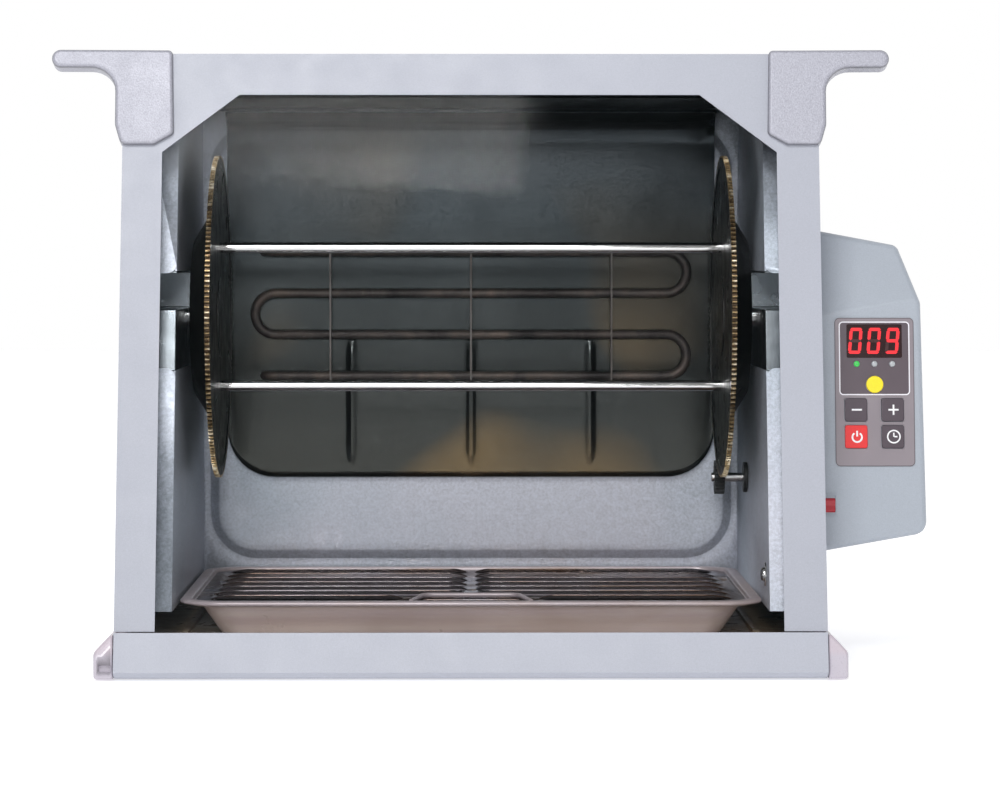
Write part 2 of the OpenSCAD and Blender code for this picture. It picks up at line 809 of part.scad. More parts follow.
// Straight-sided teeth on a pitch circle; fill is the share of the pitch that a tooth takes up there
module toothed_disc(teeth, fill) {
    r_pitch = tooth_module * teeth / 2;
    r_tip = r_pitch + 0.9 * tooth_module;
    r_root = r_pitch - 1.2 * tooth_module;
    half_at_pitch = 180 * fill / teeth;
    half_tip = half_at_pitch - flank_angle(r_tip - r_pitch, r_pitch);
    half_root = half_at_pitch + flank_angle(r_pitch - r_root, r_pitch);
    polygon([
        for (k = [0:teeth - 1])
            for (p = [[r_root, -half_root], [r_tip, -half_tip], [r_tip, half_tip], [r_root, half_root]])
                let (a = 360 * k / teeth + p[1]) p[0] * [cos(a), sin(a)]
    ]);
}

// Angle at the centre that a flank with 20 degrees of pressure angle gives up over a height
function flank_angle(height, radius) = atan(height * tan(20) / radius);

// The phase puts a tooth gap of the wheel where the pinion meets it
wheel_phase = -90 + drive_angle;

// Toothed disc with a sunk web, and a wide hollow dish on its outer face
module gear_wheel() at_spit() difference() {
    union() {
        difference() {
            along_x(wheel_x - wheel_t / 2, wheel_x + wheel_t / 2)
                rotate(wheel_phase + 180 / wheel_teeth) toothed_disc(wheel_teeth, 0.44);
            for (x = [wheel_x - wheel_t / 2 - 1, wheel_x + wheel_t / 2 - 0.7])
                difference() {
                    rod_x(97, x, x + 1.7);
                    rod_x(26, x - 1, x + 3);
                }
        }
        translate([wheel_x, 0, 0]) rotate([0, 90, 0]) rotate_extrude() polygon([
            [dish_base_r, 0], [dish_top_r, dish_h], [0, dish_h], [0, dish_h - dish_t],
            [dish_top_r - 1, dish_h - dish_t], [dish_base_r - 2.4, 0],
        ]);
    }
    for (z = [-rod_offset, rod_offset])
        translate([0, 0, z]) rod_x(rod_r, wheel_x - 5, wheel_x + 5);
    for (k = [0:11])
        rotate([30 * k + 15, 0, 0]) translate([0, 0, 86]) rod_x(5, wheel_x - 5, wheel_x + 5);
}
dish_base_r = 74;
dish_top_r = 50;
dish_h = 15;
dish_t = 1.5;

module gear_wheel_left() color("darkgoldenrod") left_hand() gear_wheel();

module gear_wheel_right() color("darkgoldenrod") gear_wheel();

module spit_hub() at_spit() {
    rod_x(10, wheel_x + dish_h, wheel_x + dish_h + 1.5);
    rod_x(stub_r, wheel_x + dish_h, guide_x - 2.5);
}

module spit_hub_left() color("silver") left_hand() spit_hub();

module spit_hub_right() color("silver") spit_hub();

module spit_rod(z) color("silver") translate([0, 0, spit_z + z]) {
    rod_x(rod_r, -wheel_x - 5, wheel_x + 5);
    translate([wheel_x + 5, 0, 0]) rotate([0, 90, 0]) cylinder(r1 = rod_r, r2 = 1.2, h = 5);
}

module spit_rod_upper() spit_rod(rod_offset);

module spit_rod_lower() spit_rod(-rod_offset);

module drive_pinion() color("beige") at_drive() difference() {
    along_x(wheel_x - 2.5, wheel_x + 4) rotate(drive_angle + 90) toothed_disc(pinion_teeth, 0.40);
    rod_x(shaft_r, wheel_x - 4, wheel_x + 5);
}

module drive_shaft() color("silver") at_drive() rod_x(shaft_r, wheel_x - 4.5, motor_x + 8);

// ---------------------------------------------------------------- drip tray

tray_front = -130;
tray_back = 115;
tray_foot_z = floor_z;
ledge_z = rim_z - 3;

// A thin rounded slab, inset from the tray's rim by d
module tray_slab(d, z, r, h = 0.2) translate([0, 0, z]) linear_extrude(h)
    round_flat([-tray_w / 2 + d, tray_front + d], [tray_w / 2 - d, tray_back - d], r, $fn = 32);

module tray_basin(grow) hull() {
    tray_slab(24 - grow, tray_foot_z + (grow < 0 ? -grow : 0), 14);
    tray_slab(13 - grow, ledge_z - 0.2, 20, grow < 0 ? 1.4 : 0.2);
}

// Deep basin, a step that carries the grate, and a flat rim
module drip_tray() color("silver") {
    difference() {
        tray_basin(0);
        tray_basin(-1.2);
    }
    difference() {
        tray_slab(6.3, ledge_z - 1.2, 21, 1.2);
        tray_slab(14.2, ledge_z - 3, 18, 6);
    }
    difference() {
        union() {
            tray_slab(0, rim_z - 1.2, 26, 1.2);
            tray_slab(6.3, ledge_z - 1.2, 21, rim_z - ledge_z + 1.2);
        }
        tray_slab(7.5, ledge_z - 3, 20, 9);
    }
}

grate_gap = 9;
grate_half = tray_w / 2 - grate_gap;
grate_front = tray_front + grate_gap;
grate_back = tray_back - grate_gap;
grate_t = 1.2;
grate_z = ledge_z + 0.05;
grate_corner = 18;
slot_pitch = 30;
notch_half = 37;
notch_back = grate_front + 42;

// Flat grate with two columns of slots, a turned-down stiffening skirt and a finger cut-out at the front
module tray_grate() color("silver") difference() {
    union() {
        translate([0, 0, grate_z]) linear_extrude(grate_t)
            round_flat([-grate_half, grate_front], [grate_half, grate_back], grate_corner);
        translate([0, 0, grate_z - 4]) linear_extrude(4 + grate_t / 2) difference() {
            skirt_flat(0);
            skirt_flat(1.2);
        }
    }
    for (side = [-1, 1], k = [0:grate_rows - 1])
        translate([0, grate_back - 22 - slot_pitch * k, grate_z - 2]) linear_extrude(6) flat(
            [side * 82 - (k == grate_rows - 1 && side > 0 ? 36 : 74), -5],
            [side * 82 + (k == grate_rows - 1 && side < 0 ? 36 : 74), 5]);
    translate([0, 0, grate_z - 8]) linear_extrude(12)
        round_flat([-notch_half, grate_front - 20], [notch_half, notch_back], 10);
}

module skirt_flat(d) round_flat(
    [-grate_half + 11 + d, grate_front + 11 + d], [grate_half - 11 - d, grate_back - 11 - d], 12 - d);

// ---------------------------------------------------------------- the oven

placed() base_pan();
placed() foot_left();
placed() foot_right();
placed() rubber_feet();
placed() side_panel_left();
placed() side_panel_right();
placed() top_panel();
placed() rear_panel();
placed() case_screws();
placed() liner_left();
placed() liner_right();
placed() liner_back();
placed() liner_top();
placed() liner_floor();
placed() liner_screws();
placed() spit_guide_left();
placed() spit_guide_right();
placed() heat_reflector();
placed() reflector_clips();
placed() heating_element();
placed() element_insulators();
placed() element_clips();
placed() thermal_cutout();
placed() pod_front();
placed() pod_rear();
placed() control_overlay();
placed() display_window();
placed() led_display();
placed() indicator_leds();
placed() switch_bezel();
placed() control_board();
placed() drive_motor();
placed() motor_bracket();
placed() shaft_bush();
placed() cord_gland();
placed() door_bumpers();
placed() door_glass();
placed() door_border();
placed() door_handle_left();
placed() door_handle_right();
placed() handle_screws();
placed() door_bottom_rail();
placed() hinge_pins();
placed() gear_wheel_left();
placed() gear_wheel_right();
placed() spit_hub_left();
placed() spit_hub_right();
placed() spit_rod_upper();
placed() spit_rod_lower();
placed() drive_pinion();
placed() drive_shaft();
placed() function_button();
placed() minus_key();
placed() plus_key();
placed() off_key();
placed() hours_key();
placed() power_rocker();
placed() drip_tray();
placed() tray_grate();
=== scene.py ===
"""Countertop rotisserie oven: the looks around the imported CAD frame.

Local coordinates are millimetres in one of three frames: CAVITY (middle of the cavity, spit axis, table),
DOOR (x, depth behind the outer glass face, height along the door) and PANEL (x, depth, height along the
control panel). Everything is placed from the CAD nodes' own boxes.
"""
import json
import math

import bmesh
import bpy
from mathutils import Euler, Matrix, Vector
from mathutils.geometry import delaunay_2d_cdt


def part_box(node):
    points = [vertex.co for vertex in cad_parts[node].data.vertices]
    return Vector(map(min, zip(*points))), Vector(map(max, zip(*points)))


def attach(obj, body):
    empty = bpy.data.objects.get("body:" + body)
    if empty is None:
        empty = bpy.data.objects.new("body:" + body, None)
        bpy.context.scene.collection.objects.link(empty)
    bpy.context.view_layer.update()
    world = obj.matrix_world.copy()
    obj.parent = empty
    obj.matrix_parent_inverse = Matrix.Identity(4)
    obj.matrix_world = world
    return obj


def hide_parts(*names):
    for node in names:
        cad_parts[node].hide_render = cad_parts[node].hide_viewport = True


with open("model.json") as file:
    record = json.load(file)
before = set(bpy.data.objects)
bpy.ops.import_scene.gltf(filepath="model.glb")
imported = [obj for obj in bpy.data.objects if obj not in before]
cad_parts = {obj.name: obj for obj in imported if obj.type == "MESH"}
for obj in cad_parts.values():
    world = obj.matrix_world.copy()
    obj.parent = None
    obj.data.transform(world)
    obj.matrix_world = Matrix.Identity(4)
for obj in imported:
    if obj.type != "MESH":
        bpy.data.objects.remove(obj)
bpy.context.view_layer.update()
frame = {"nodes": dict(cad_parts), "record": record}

# ---- driving dimensions

MM = 0.001
DOOR_LEAN = math.radians(12.6)
PANEL_LEAN = math.radians(8.2)
GLASS_FOOT_UP = 12.2
OVERLAY_T = 0.6
OVERLAY_LOW_V = -98.0
PANEL_CX = 254.5
HANDLE_FRONT, HANDLE_BACK = -5.0, 9.0

glass_low, glass_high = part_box("door_glass")
wheel_low, wheel_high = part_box("gear_wheel_left")
overlay_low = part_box("control_overlay")[0]
MID_X = (glass_low.x + glass_high.x) / 2
SPIT_Y = (wheel_low.y + wheel_high.y) / 2
SPIT_Z = (wheel_low.z + wheel_high.z) / 2
SPIT_UP = SPIT_Z / MM
DOOR_FOOT_Y = glass_low.y - GLASS_FOOT_UP * MM * math.sin(DOOR_LEAN)
PANEL_Z = overlay_low.z - OVERLAY_LOW_V * MM * math.cos(PANEL_LEAN)
PANEL_Y = (overlay_low.y + OVERLAY_T * MM * math.cos(PANEL_LEAN) - OVERLAY_LOW_V * MM * math.sin(PANEL_LEAN))

CAVITY = Matrix.Translation((MID_X, SPIT_Y, 0))
DOOR = Matrix.Translation((MID_X, DOOR_FOOT_Y, 0)) @ Matrix.Rotation(-DOOR_LEAN, 4, "X")
PANEL = Matrix.Translation((MID_X, PANEL_Y, PANEL_Z)) @ Matrix.Rotation(-PANEL_LEAN, 4, "X")

TOOTH_DEPTH = 2.16 * MM
WHEEL_ROOT = (wheel_high.z - wheel_low.z) / 2 - TOOTH_DEPTH
REFLECTOR_Z0, REFLECTOR_Z1 = SPIT_Z - 0.111, SPIT_Z + 0.136

# ---- camera

CAMERA_BACK = 2.25
CAMERA_UP = 0.04
CAMERA_PITCH = math.radians(2.4)
CAMERA_YAW = math.radians(0.478)
FOCAL_PIXELS = 3477
IMAGE_WIDTH = 1000


def added(name, data):
    obj = bpy.data.objects.new(name, data)
    bpy.context.scene.collection.objects.link(obj)
    return obj


def make_camera():
    data = bpy.data.cameras.new("camera")
    data.sensor_width = 36
    data.lens = data.sensor_width * FOCAL_PIXELS / IMAGE_WIDTH
    data.clip_end = 50
    camera = added("camera", data)
    camera.location = (MID_X, SPIT_Y - CAMERA_BACK, SPIT_Z + CAMERA_UP)
    camera.rotation_euler = Euler((math.radians(90) - CAMERA_PITCH, 0, -CAMERA_YAW))
    bpy.context.scene.camera = camera


make_camera()

# ---- node material kit


def srgb(r, g, b):
    """A linear colour from 0-255 screen values."""
    def one(c):
        c /= 255
        return c / 12.92 if c <= 0.04045 else ((c + 0.055) / 1.055) ** 2.4
    return (one(r), one(g), one(b), 1)


class Nodes:
    """The node tree of a material or world, with short helpers for procedural detail."""

    def __init__(self, owner, coords):
        owner.use_nodes = True
        self.tree = owner.node_tree
        self.coords = self.node("TexCoord").outputs[coords]

    def link(self, source, target):
        if hasattr(source, "is_output"):
            self.tree.links.new(source, target)
        else:
            target.default_value = source

    def node(self, kind, **sockets):
        node = self.tree.nodes.new("ShaderNode" + kind)
        for key, value in sockets.items():
            self.link(value, node.inputs[key])
        return node

    def noise(self, scale, detail=3.0, roughness=0.5, distortion=0.0, at=None):
        return self.node("TexNoise", Vector=at or self.coords, Scale=scale, Detail=detail, Roughness=roughness,
                         Distortion=distortion).outputs["Fac"]

    def streaks(self, axis, along, across, roughness):
        """Noise drawn out along one axis."""
        scale = [along if k == axis else across for k in range(3)]
        at = self.node("Mapping", Vector=self.coords, Scale=scale).outputs["Vector"]
        return self.noise(1.0, 3, roughness, at=at)

    def ramp(self, factor, *stops):
        """stops are (position, colour or grey)."""
        node = self.node("ValToRGB", Fac=factor)
        elements = node.color_ramp.elements
        while len(elements) < len(stops):
            elements.new(0.5)
        for element, (position, value) in zip(elements, stops):
            element.position = position
            element.color = value if isinstance(value, tuple) else (value, value, value, 1)
        return node.outputs["Color"]

    def between(self, factor, low, high):
        """A ramp over the busy middle of a noise."""
        return self.ramp(factor, (0.3, low), (0.7, high))

    def math(self, operation, a, b=0.0, c=0.0):
        node = self.node("Math")
        node.operation = operation
        for socket, value in zip(node.inputs, (a, b, c)):
            self.link(value, socket)
        return node.outputs["Value"]

    def minus(self, a, b):
        return self.math("SUBTRACT", a, b)

    def length(self, a, b):
        return self.math("SQRT", self.math("ADD", self.math("MULTIPLY", a, a), self.math("MULTIPLY", b, b)))

    def outside(self, x, z, half, radius):
        """Distance from the core of a rounded rectangle about the origin; its sizes in millimetres."""
        return self.length(*(self.math("MAXIMUM", self.minus(self.math("ABSOLUTE", v), (h - radius) * MM), 0.0)
                             for v, h in zip((x, z), half)))

    def split(self, vector):
        return self.node("SeparateXYZ", Vector=vector).outputs[:]

    def mix(self, factor, a, b, blend="MIX"):
        node = self.node("Mix")
        node.data_type = "RGBA"
        node.blend_type = blend
        for socket, value in ((0, factor), (6, a), (7, b)):
            self.link(value, node.inputs[socket])
        return node.outputs[2]

    def bump(self, height, strength, distance, under=None):
        node = self.node("Bump", Height=height, Strength=strength, Distance=distance)
        if under is not None:
            self.link(under, node.inputs["Normal"])
        return node.outputs["Normal"]


MATERIALS = {}


class Paint(Nodes):
    """A Principled material; when done it can be found in MATERIALS."""

    def __init__(self, name, **constants):
        self.name = name
        self.material = bpy.data.materials.new(name)
        super().__init__(self.material, "Object")
        self.shader = self.tree.nodes["Principled BSDF"]
        for key, value in constants.items():
            self.shader.inputs[key.replace("_", " ")].default_value = value

    def done(self, colour, roughness=None, normal=None):
        for key, value in (("Base Color", colour), ("Roughness", roughness), ("Normal", normal)):
            if value is not None:
                self.link(value, self.shader.inputs[key])
        MATERIALS[self.name] = self.material


def shade(colour, factor):
    return tuple(c * factor for c in colour[:3]) + (1,)


def grained(name, rgb, roughness, grain_scale, grain_bump, spread, coat=0.0):
    """Paint or moulded plastic: a faint tone drift, a fine grain and a mottled gloss."""
    p = Paint(name, Coat_Weight=coat)
    colour = srgb(*rgb)
    drift = p.noise(9, 4, 0.6)
    speck = p.noise(grain_scale, 2, 0.6)
    tone = p.ramp(drift, (0.35, shade(colour, 1 - spread)), (0.65, shade(colour, 1 + spread)))
    tone = p.mix(0.35, tone, p.between(speck, shade(colour, 0.82), shade(colour, 1.12)))
    gloss = p.between(p.noise(60, 3), roughness * 0.88, roughness * 1.12)
    p.done(tone, gloss, p.bump(speck, grain_bump, 0.0003))


def streaked_metal(name, rgb, roughness, axis):
    """Brushed or rolled metal with fine streaks along one axis and smudges."""
    p = Paint(name, Metallic=1.0)
    colour = srgb(*rgb)
    streaks = p.streaks(axis, 12, 900, 0.65)
    smudge = p.noise(22, 5, 0.6, 0.4)
    tone = p.between(streaks, shade(colour, 0.86), shade(colour, 1.08))
    gloss = p.between(smudge, roughness * 0.75, roughness * 1.35)
    p.done(tone, gloss, p.bump(streaks, 0.06, 0.0002))


def satin_sheet(name, colour, roughness, axis, metallic, stain, stain_share):
    """Pressed bright sheet with soft rolling streaks along one axis and faint burnt-on stains."""
    p = Paint(name, Metallic=metallic)
    bands = p.streaks(axis, 5, 160, 0.5)
    fine = p.noise(500, 2, 0.6)
    tone = p.between(bands, shade(colour, 0.88), shade(colour, 1.06))
    tone = p.mix(0.2, tone, p.between(fine, shade(colour, 0.7), shade(colour, 1.15)))
    mask = p.ramp(p.noise(11, 5, 0.6, 0.5), (stain_share - 0.06, 0.0), (stain_share + 0.16, 0.8))
    tone = p.mix(mask, tone, stain)
    gloss = p.between(p.noise(20, 4, 0.6), roughness * 0.8, roughness * 1.3)
    p.done(tone, gloss, p.bump(fine, 0.05, 0.0002))


def make_galvanised():
    """Zinc-coated sheet: fine crystal cells that differ in tone and gloss, with soft cool and warm smears."""
    p = Paint("galvanised", Metallic=0.4)
    colour, roughness = srgb(204, 210, 221), 0.42
    cell = p.node("TexVoronoi", Vector=p.coords, Scale=230).outputs["Color"]
    fine = p.noise(520, 3, 0.7)
    smear = p.noise(6, 3, 0.5, 0.3)
    tone = p.ramp(cell, (0.1, shade(colour, 0.64)), (0.9, shade(colour, 1.2)))
    tone = p.mix(0.55, tone, p.ramp(fine, (0.38, shade(colour, 0.56)), (0.62, shade(colour, 1.3))))
    cool, warm = (tuple(a * b for a, b in zip(shade(colour, level), tint))
                  for level, tint in ((0.74, (0.9, 1.02, 1.06, 1.0)), (1.08, (1.04, 0.97, 0.98, 1.0))))
    tone = p.mix(0.4, tone, p.ramp(smear, (0.38, cool), (0.62, warm)))
    gloss = p.ramp(cell, (0.1, roughness * 0.85), (0.9, roughness * 1.2))
    p.done(tone, gloss, p.bump(cell, 0.04, 0.0002, p.bump(fine, 0.08, 0.0002)))


def make_reflector_steel():
    """Dark polished sheet with heat tints: black at the top, blue-grey lower down, with straw patches."""
    p = Paint("reflector_steel", Metallic=1.0)
    _, _, z = p.split(p.coords)
    height = p.math("DIVIDE", p.minus(z, REFLECTOR_Z0), REFLECTOR_Z1 - REFLECTOR_Z0)
    wave = p.math("MULTIPLY", p.minus(p.noise(5, 2, 0.4), 0.5), 0.25)
    tint = p.ramp(p.math("ADD", height, wave), (0.0, srgb(54, 54, 50)), (0.45, srgb(54, 58, 59)),
                  (0.68, srgb(46, 52, 56)), (0.86, srgb(36, 40, 44)), (1.0, srgb(24, 30, 36)))
    straw = p.math("MULTIPLY", p.ramp(p.noise(6.5, 2, 0.4, 0.3), (0.5, 0.0), (0.68, 0.6)),
                   p.ramp(height, (0.35, 1.0), (0.75, 0.15)))
    tint = p.mix(straw, tint, srgb(132, 108, 68))
    speck = p.noise(700, 2, 0.6)
    tint = p.mix(0.1, tint, p.between(speck, srgb(40, 46, 48), srgb(150, 156, 156)))
    gloss = p.between(p.noise(12, 3, 0.5), 0.16, 0.26)
    p.done(tint, gloss, p.bump(p.noise(7, 2, 0.4), 0.1, 0.003))


def make_floor_steel():
    """Sheet gone brown and olive with baked grease, with a few bright scuffs."""
    p = Paint("floor_steel", Metallic=0.1)
    smear = p.noise(16, 6, 0.7, 0.9)
    speck = p.noise(240, 4, 0.7)
    tone = p.ramp(smear, (0.3, srgb(150, 120, 82)), (0.48, srgb(190, 164, 128)), (0.62, srgb(214, 194, 166)),
                  (0.75, srgb(214, 200, 186)))
    tone = p.mix(0.3, tone, p.ramp(speck, (0.35, srgb(80, 58, 38)), (0.6, srgb(190, 172, 150))))
    gloss = p.between(smear, 0.45, 0.22)
    p.done(tone, gloss, p.bump(speck, 0.08, 0.0003))


def make_handle_plastic():
    """Silver-grey moulding, light on its face; the darker band round the rolled rim is painted shade."""
    p = Paint("handle_plastic", Metallic=0.08)
    _, y, z = p.split(p.coords)
    depth = p.minus(p.math("MULTIPLY", p.minus(y, DOOR_FOOT_Y), math.cos(DOOR_LEAN)),
                   p.math("MULTIPLY", z, math.sin(DOOR_LEAN)))
    inset = p.math("MULTIPLY", p.minus(depth, HANDLE_FRONT * MM), 70.0)
    speck = p.noise(1100, 2, 0.6)
    face = p.between(speck, srgb(150, 150, 161), srgb(172, 173, 184))
    # Painted shade: the rim ramp darkens a band over the rolled edge and onto the sides, by depth behind the
    # face
    rim = p.ramp(inset, (0.02, 1.0), (0.06, 0.74), (0.11, 0.46), (0.17, 0.56), (0.34, 1.0))
    p.done(p.mix(1.0, face, rim, "MULTIPLY"), p.between(p.noise(60, 3), 0.33, 0.42),
                  p.bump(speck, 0.5, 0.0003))


def make_wheel_metal():
    """Dark coated web; towards the teeth the metal is brassy and worn bright."""
    p = Paint("wheel_metal", Metallic=0.85)
    _, y, z = p.split(p.coords)
    radius = p.length(p.minus(y, SPIT_Y), p.minus(z, SPIT_Z))
    rim = p.minus(radius, WHEEL_ROOT)
    mask = p.ramp(p.math("MULTIPLY", rim, 1000.0), (0.55, 0.0), (1.0, 1.0))
    worn = p.ramp(p.math("MULTIPLY_ADD", rim, 120.0, p.noise(50, 4)), (0.15, 0.0), (0.65, 1.0))
    web = p.between(p.noise(40, 5, 0.7), srgb(22, 22, 24), srgb(52, 50, 48))
    web = p.mix(worn, web, srgb(84, 66, 48))
    teeth = p.ramp(p.noise(150, 4, 0.7), (0.35, srgb(84, 66, 44)), (0.5, srgb(160, 138, 100)),
                   (0.66, srgb(240, 230, 206)))
    gloss = p.between(p.noise(70, 4), 0.25, 0.45)
    p.done(p.mix(mask, web, teeth), gloss, p.bump(p.noise(500, 2), 0.08, 0.0003))


def make_foot_plastic():
    """Glossy near-white plastic that turns pinker on the sloping shoulder."""
    p = Paint("foot_plastic", Coat_Weight=0.3, Coat_Roughness=0.1)
    _, _, z = p.split(p.coords)
    shoulder = p.ramp(p.math("MULTIPLY", z, 25.0), (0.36, 0.0), (0.46, 1.0))
    drift = p.noise(40, 3)
    front = p.between(drift, srgb(184, 178, 189), srgb(190, 184, 194))
    tone = p.mix(shoulder, front, p.between(drift, srgb(188, 177, 187), srgb(194, 183, 192)))
    grain = p.noise(900, 2)
    p.done(tone, p.between(grain, 0.26, 0.32), p.bump(grain, 0.03, 0.0002))


def make_tray_steel():
    """Satin stainless sheet, softly streaked, with a few brown smears; the pale wall under the greyer rim is
    painted light, its colour raised to near white.
    """
    p = Paint("tray_steel", Metallic=0.15)
    _, _, z = p.split(p.coords)
    # Painted light: low marks the wall below the rim, which is painted near white, much paler than the rim
    low = p.ramp(p.math("MULTIPLY", z, 20.0), (0.76, 1.0), (0.8, 0.0))
    bands = p.streaks(0, 5, 160, 0.5)
    fine = p.noise(500, 2, 0.6)
    rim = p.between(bands, srgb(176, 164, 168), srgb(204, 192, 196))
    wall = p.between(bands, srgb(240, 230, 242), srgb(255, 250, 255))
    tone = p.mix(low, rim, wall)
    smear = p.ramp(p.noise(9, 3, 0.5, 0.5), (0.56, 0.0), (0.76, 0.5))
    tone = p.mix(smear, tone, srgb(190, 162, 142))
    gloss = p.between(p.noise(20, 4, 0.6), 0.26, 0.4)
    p.done(tone, gloss, p.bump(fine, 0.05, 0.0002))


def make_element_steel():
    """Oxidised heater sheath: near black with blue and brown tints and a grey bloom."""
    p = Paint("element_steel", Metallic=0.6)
    tint = p.noise(30, 4, 0.6, 0.5)
    tone = p.ramp(tint, (0.3, srgb(44, 40, 40)), (0.5, srgb(78, 72, 70)), (0.7, srgb(110, 98, 90)))
    bloom = p.noise(600, 2, 0.6)
    p.done(tone, p.between(bloom, 0.45, 0.7), p.bump(bloom, 0.15, 0.0002))


# Half sizes, middle height and corner radius of the dark printed block and of the whole film
PRINT_HALF, PRINT_MID_V, PRINT_RADIUS, PRINT_LINE = (22.3, 23.35), -29.65, 2.6, 0.35
OVERLAY_HALF, OVERLAY_MID_V, OVERLAY_RADIUS, OVERLAY_LINE = (25.0, 47.0), -51.0, 3.0, 0.45


def make_overlay():
    """Printed film: mauve grey, with a dark block in a white outline round the display and button."""
    p = Paint("overlay", Coat_Weight=0.25, Coat_Roughness=0.25)
    shift = p.node("VectorMath")
    shift.operation = "SUBTRACT"
    shift.inputs[1].default_value = PANEL @ (Vector((PANEL_CX, 0, PRINT_MID_V)) * MM)
    p.link(p.coords, shift.inputs[0])
    turn = p.node("VectorRotate", Vector=shift.outputs["Vector"], Angle=PANEL_LEAN)
    turn.rotation_type = "X_AXIS"
    x, _, z = p.split(turn.outputs["Vector"])
    reach = p.outside(x, z, PRINT_HALF, PRINT_RADIUS)
    inside = p.math("LESS_THAN", reach, PRINT_RADIUS * MM)
    block = p.math("LESS_THAN", reach, (PRINT_RADIUS - 2 * PRINT_LINE) * MM)
    drift = p.noise(25, 3)
    ground = p.between(drift, srgb(131, 122, 129), srgb(140, 131, 137))
    dark = p.between(drift, srgb(78, 65, 74), srgb(86, 73, 82))
    far = p.outside(x, p.minus(z, (OVERLAY_MID_V - PRINT_MID_V) * MM), OVERLAY_HALF, OVERLAY_RADIUS)
    edge = p.math("GREATER_THAN", far, (OVERLAY_RADIUS - OVERLAY_LINE) * MM)
    ground = p.mix(edge, ground, srgb(88, 80, 86))
    tone = p.mix(block, p.mix(inside, ground, srgb(236, 234, 240)), dark)
    grain = p.noise(1500, 2)
    p.done(tone, p.between(grain, 0.34, 0.44), p.bump(grain, 0.05, 0.0001))


def make_glass():
    """Clear pane by plain alpha: near-black body, so that it only adds gloss and a trace of smear."""
    p = Paint("glass", Alpha=0.06, IOR=1.5)
    p.material.surface_render_method = "BLENDED"
    smear = p.noise(9, 5, 0.7, 0.7)
    p.done(p.between(smear, srgb(20, 26, 28), srgb(46, 54, 56)),
                  p.ramp(smear, (0.35, 0.02), (0.75, 0.1)))


def lit(name, colour, strength):
    """A glowing lens or segment: brighter in the middle of its grain."""
    p = Paint(name, Roughness=0.4, Emission_Color=colour, Emission_Strength=strength)
    p.done(p.between(p.noise(900, 2), shade(colour, 0.7), colour))


# Colour, roughness, grain size, grain depth, tone spread and, for some, a clear coat
GRAINED = {
    "door_paint": ((164, 167, 178), 0.42, 1300, 0.1, 0.02),
    "rail_paint": ((172, 175, 186), 0.42, 1300, 0.1, 0.02),
    "case_paint": ((164, 167, 178), 0.45, 1300, 0.14, 0.02),
    "rubber": ((38, 38, 40), 0.75, 800, 0.3, 0.1),
    "ceramic": ((232, 226, 214), 0.6, 900, 0.2, 0.05),
    "pod_plastic": ((164, 171, 181), 0.42, 1200, 0.25, 0.02),
    "window_red": ((40, 12, 16), 0.18, 900, 0.02, 0.1, 0.4),
    "led_module": ((70, 20, 24), 0.5, 900, 0.1, 0.1),
    "lamp": ((176, 180, 184), 0.3, 900, 0.05, 0.05),
    "board": ((38, 92, 56), 0.4, 900, 0.2, 0.1),
    "black_plastic": ((34, 34, 36), 0.5, 900, 0.2, 0.1),
    "key_grey": ((72, 60, 70), 0.38, 1200, 0.08, 0.04, 0.15),
    "key_red": ((226, 34, 36), 0.36, 1200, 0.08, 0.04, 0.15),
    "key_yellow": ((250, 226, 24), 0.36, 1200, 0.08, 0.03, 0.15),
    "rocker_red": ((176, 26, 44), 0.3, 900, 0.06, 0.05, 0.3),
    "sign_white": ((240, 240, 242), 0.5, 1200, 0.05, 0.02),
    "segment_off": ((58, 14, 18), 0.3, 1200, 0.03, 0.05),
}
# Colour, roughness and the axis of the streaks
STREAKED = {
    "chrome": ((226, 226, 226), 0.1, 0),
    "screw_steel": ((190, 190, 190), 0.25, 2),
    "guide_metal": ((160, 168, 174), 0.22, 2),
    "motor_can": ((150, 150, 150), 0.35, 0),
}
make_glass()
make_handle_plastic()
make_foot_plastic()
make_galvanised()
make_floor_steel()
make_reflector_steel()
make_tray_steel()
make_wheel_metal()
make_element_steel()
make_overlay()
satin_sheet("grate_steel", srgb(132, 126, 130), 0.26, 0, 0.85, srgb(120, 92, 70), 0.5)
satin_sheet("clip_steel", srgb(96, 92, 90), 0.4, 2, 0.6, srgb(60, 48, 40), 0.5)
lit("segment_red", srgb(232, 18, 34), 0.55)
lit("lamp_green", srgb(64, 190, 84), 0.35)
for slot_name, row in GRAINED.items():
    grained(slot_name, *row)
for slot_name, row in STREAKED.items():
    streaked_metal(slot_name, *row)

# Nodes that don't look like the rest of their slot
NODE_PAINT = {"door_bottom_rail": "rail_paint", "reflector_clips": "reflector_steel",
              "element_clips": "clip_steel"}

# ---- CAD nodes: materials and soft edges

# Edge radius in millimetres where the real piece is moulded or bent; other nodes get a slight break
EDGE_RADIUS = {
    "door_bottom_rail": 0.8, "top_panel": 0.7,
    "function_button": 0.6, "minus_key": 0.5, "plus_key": 0.5, "off_key": 0.5, "hours_key": 0.5,
    "power_rocker": 0.6, "switch_bezel": 0.4, "cord_gland": 0.6, "spit_guide_left": 1.0,
    "spit_guide_right": 1.0, "liner_left": 0.35, "liner_right": 0.35,
}
PLAIN_EDGES = {"gear_wheel_left", "gear_wheel_right", "heating_element", "door_border", "control_overlay",
               "display_window", "indicator_leds"}
DEFAULT_RADIUS = 0.3


def weigh_normals(obj):
    obj.modifiers.new("normals", "WEIGHTED_NORMAL").keep_sharp = True


def soften(obj, radius):
    """Merges doubled corners, drops the flat triangulation and rounds the sharp edges."""
    obj.modifiers.new("weld", "WELD").merge_threshold = 0.02 * MM
    flat = obj.modifiers.new("flatten", "DECIMATE")
    flat.decimate_type = "DISSOLVE"
    flat.angle_limit = math.radians(0.6)
    bevel = obj.modifiers.new("edges", "BEVEL")
    bevel.width = radius * MM
    bevel.segments = 3
    bevel.limit_method = "ANGLE"
    bevel.angle_limit = math.radians(30)
    weigh_normals(obj)


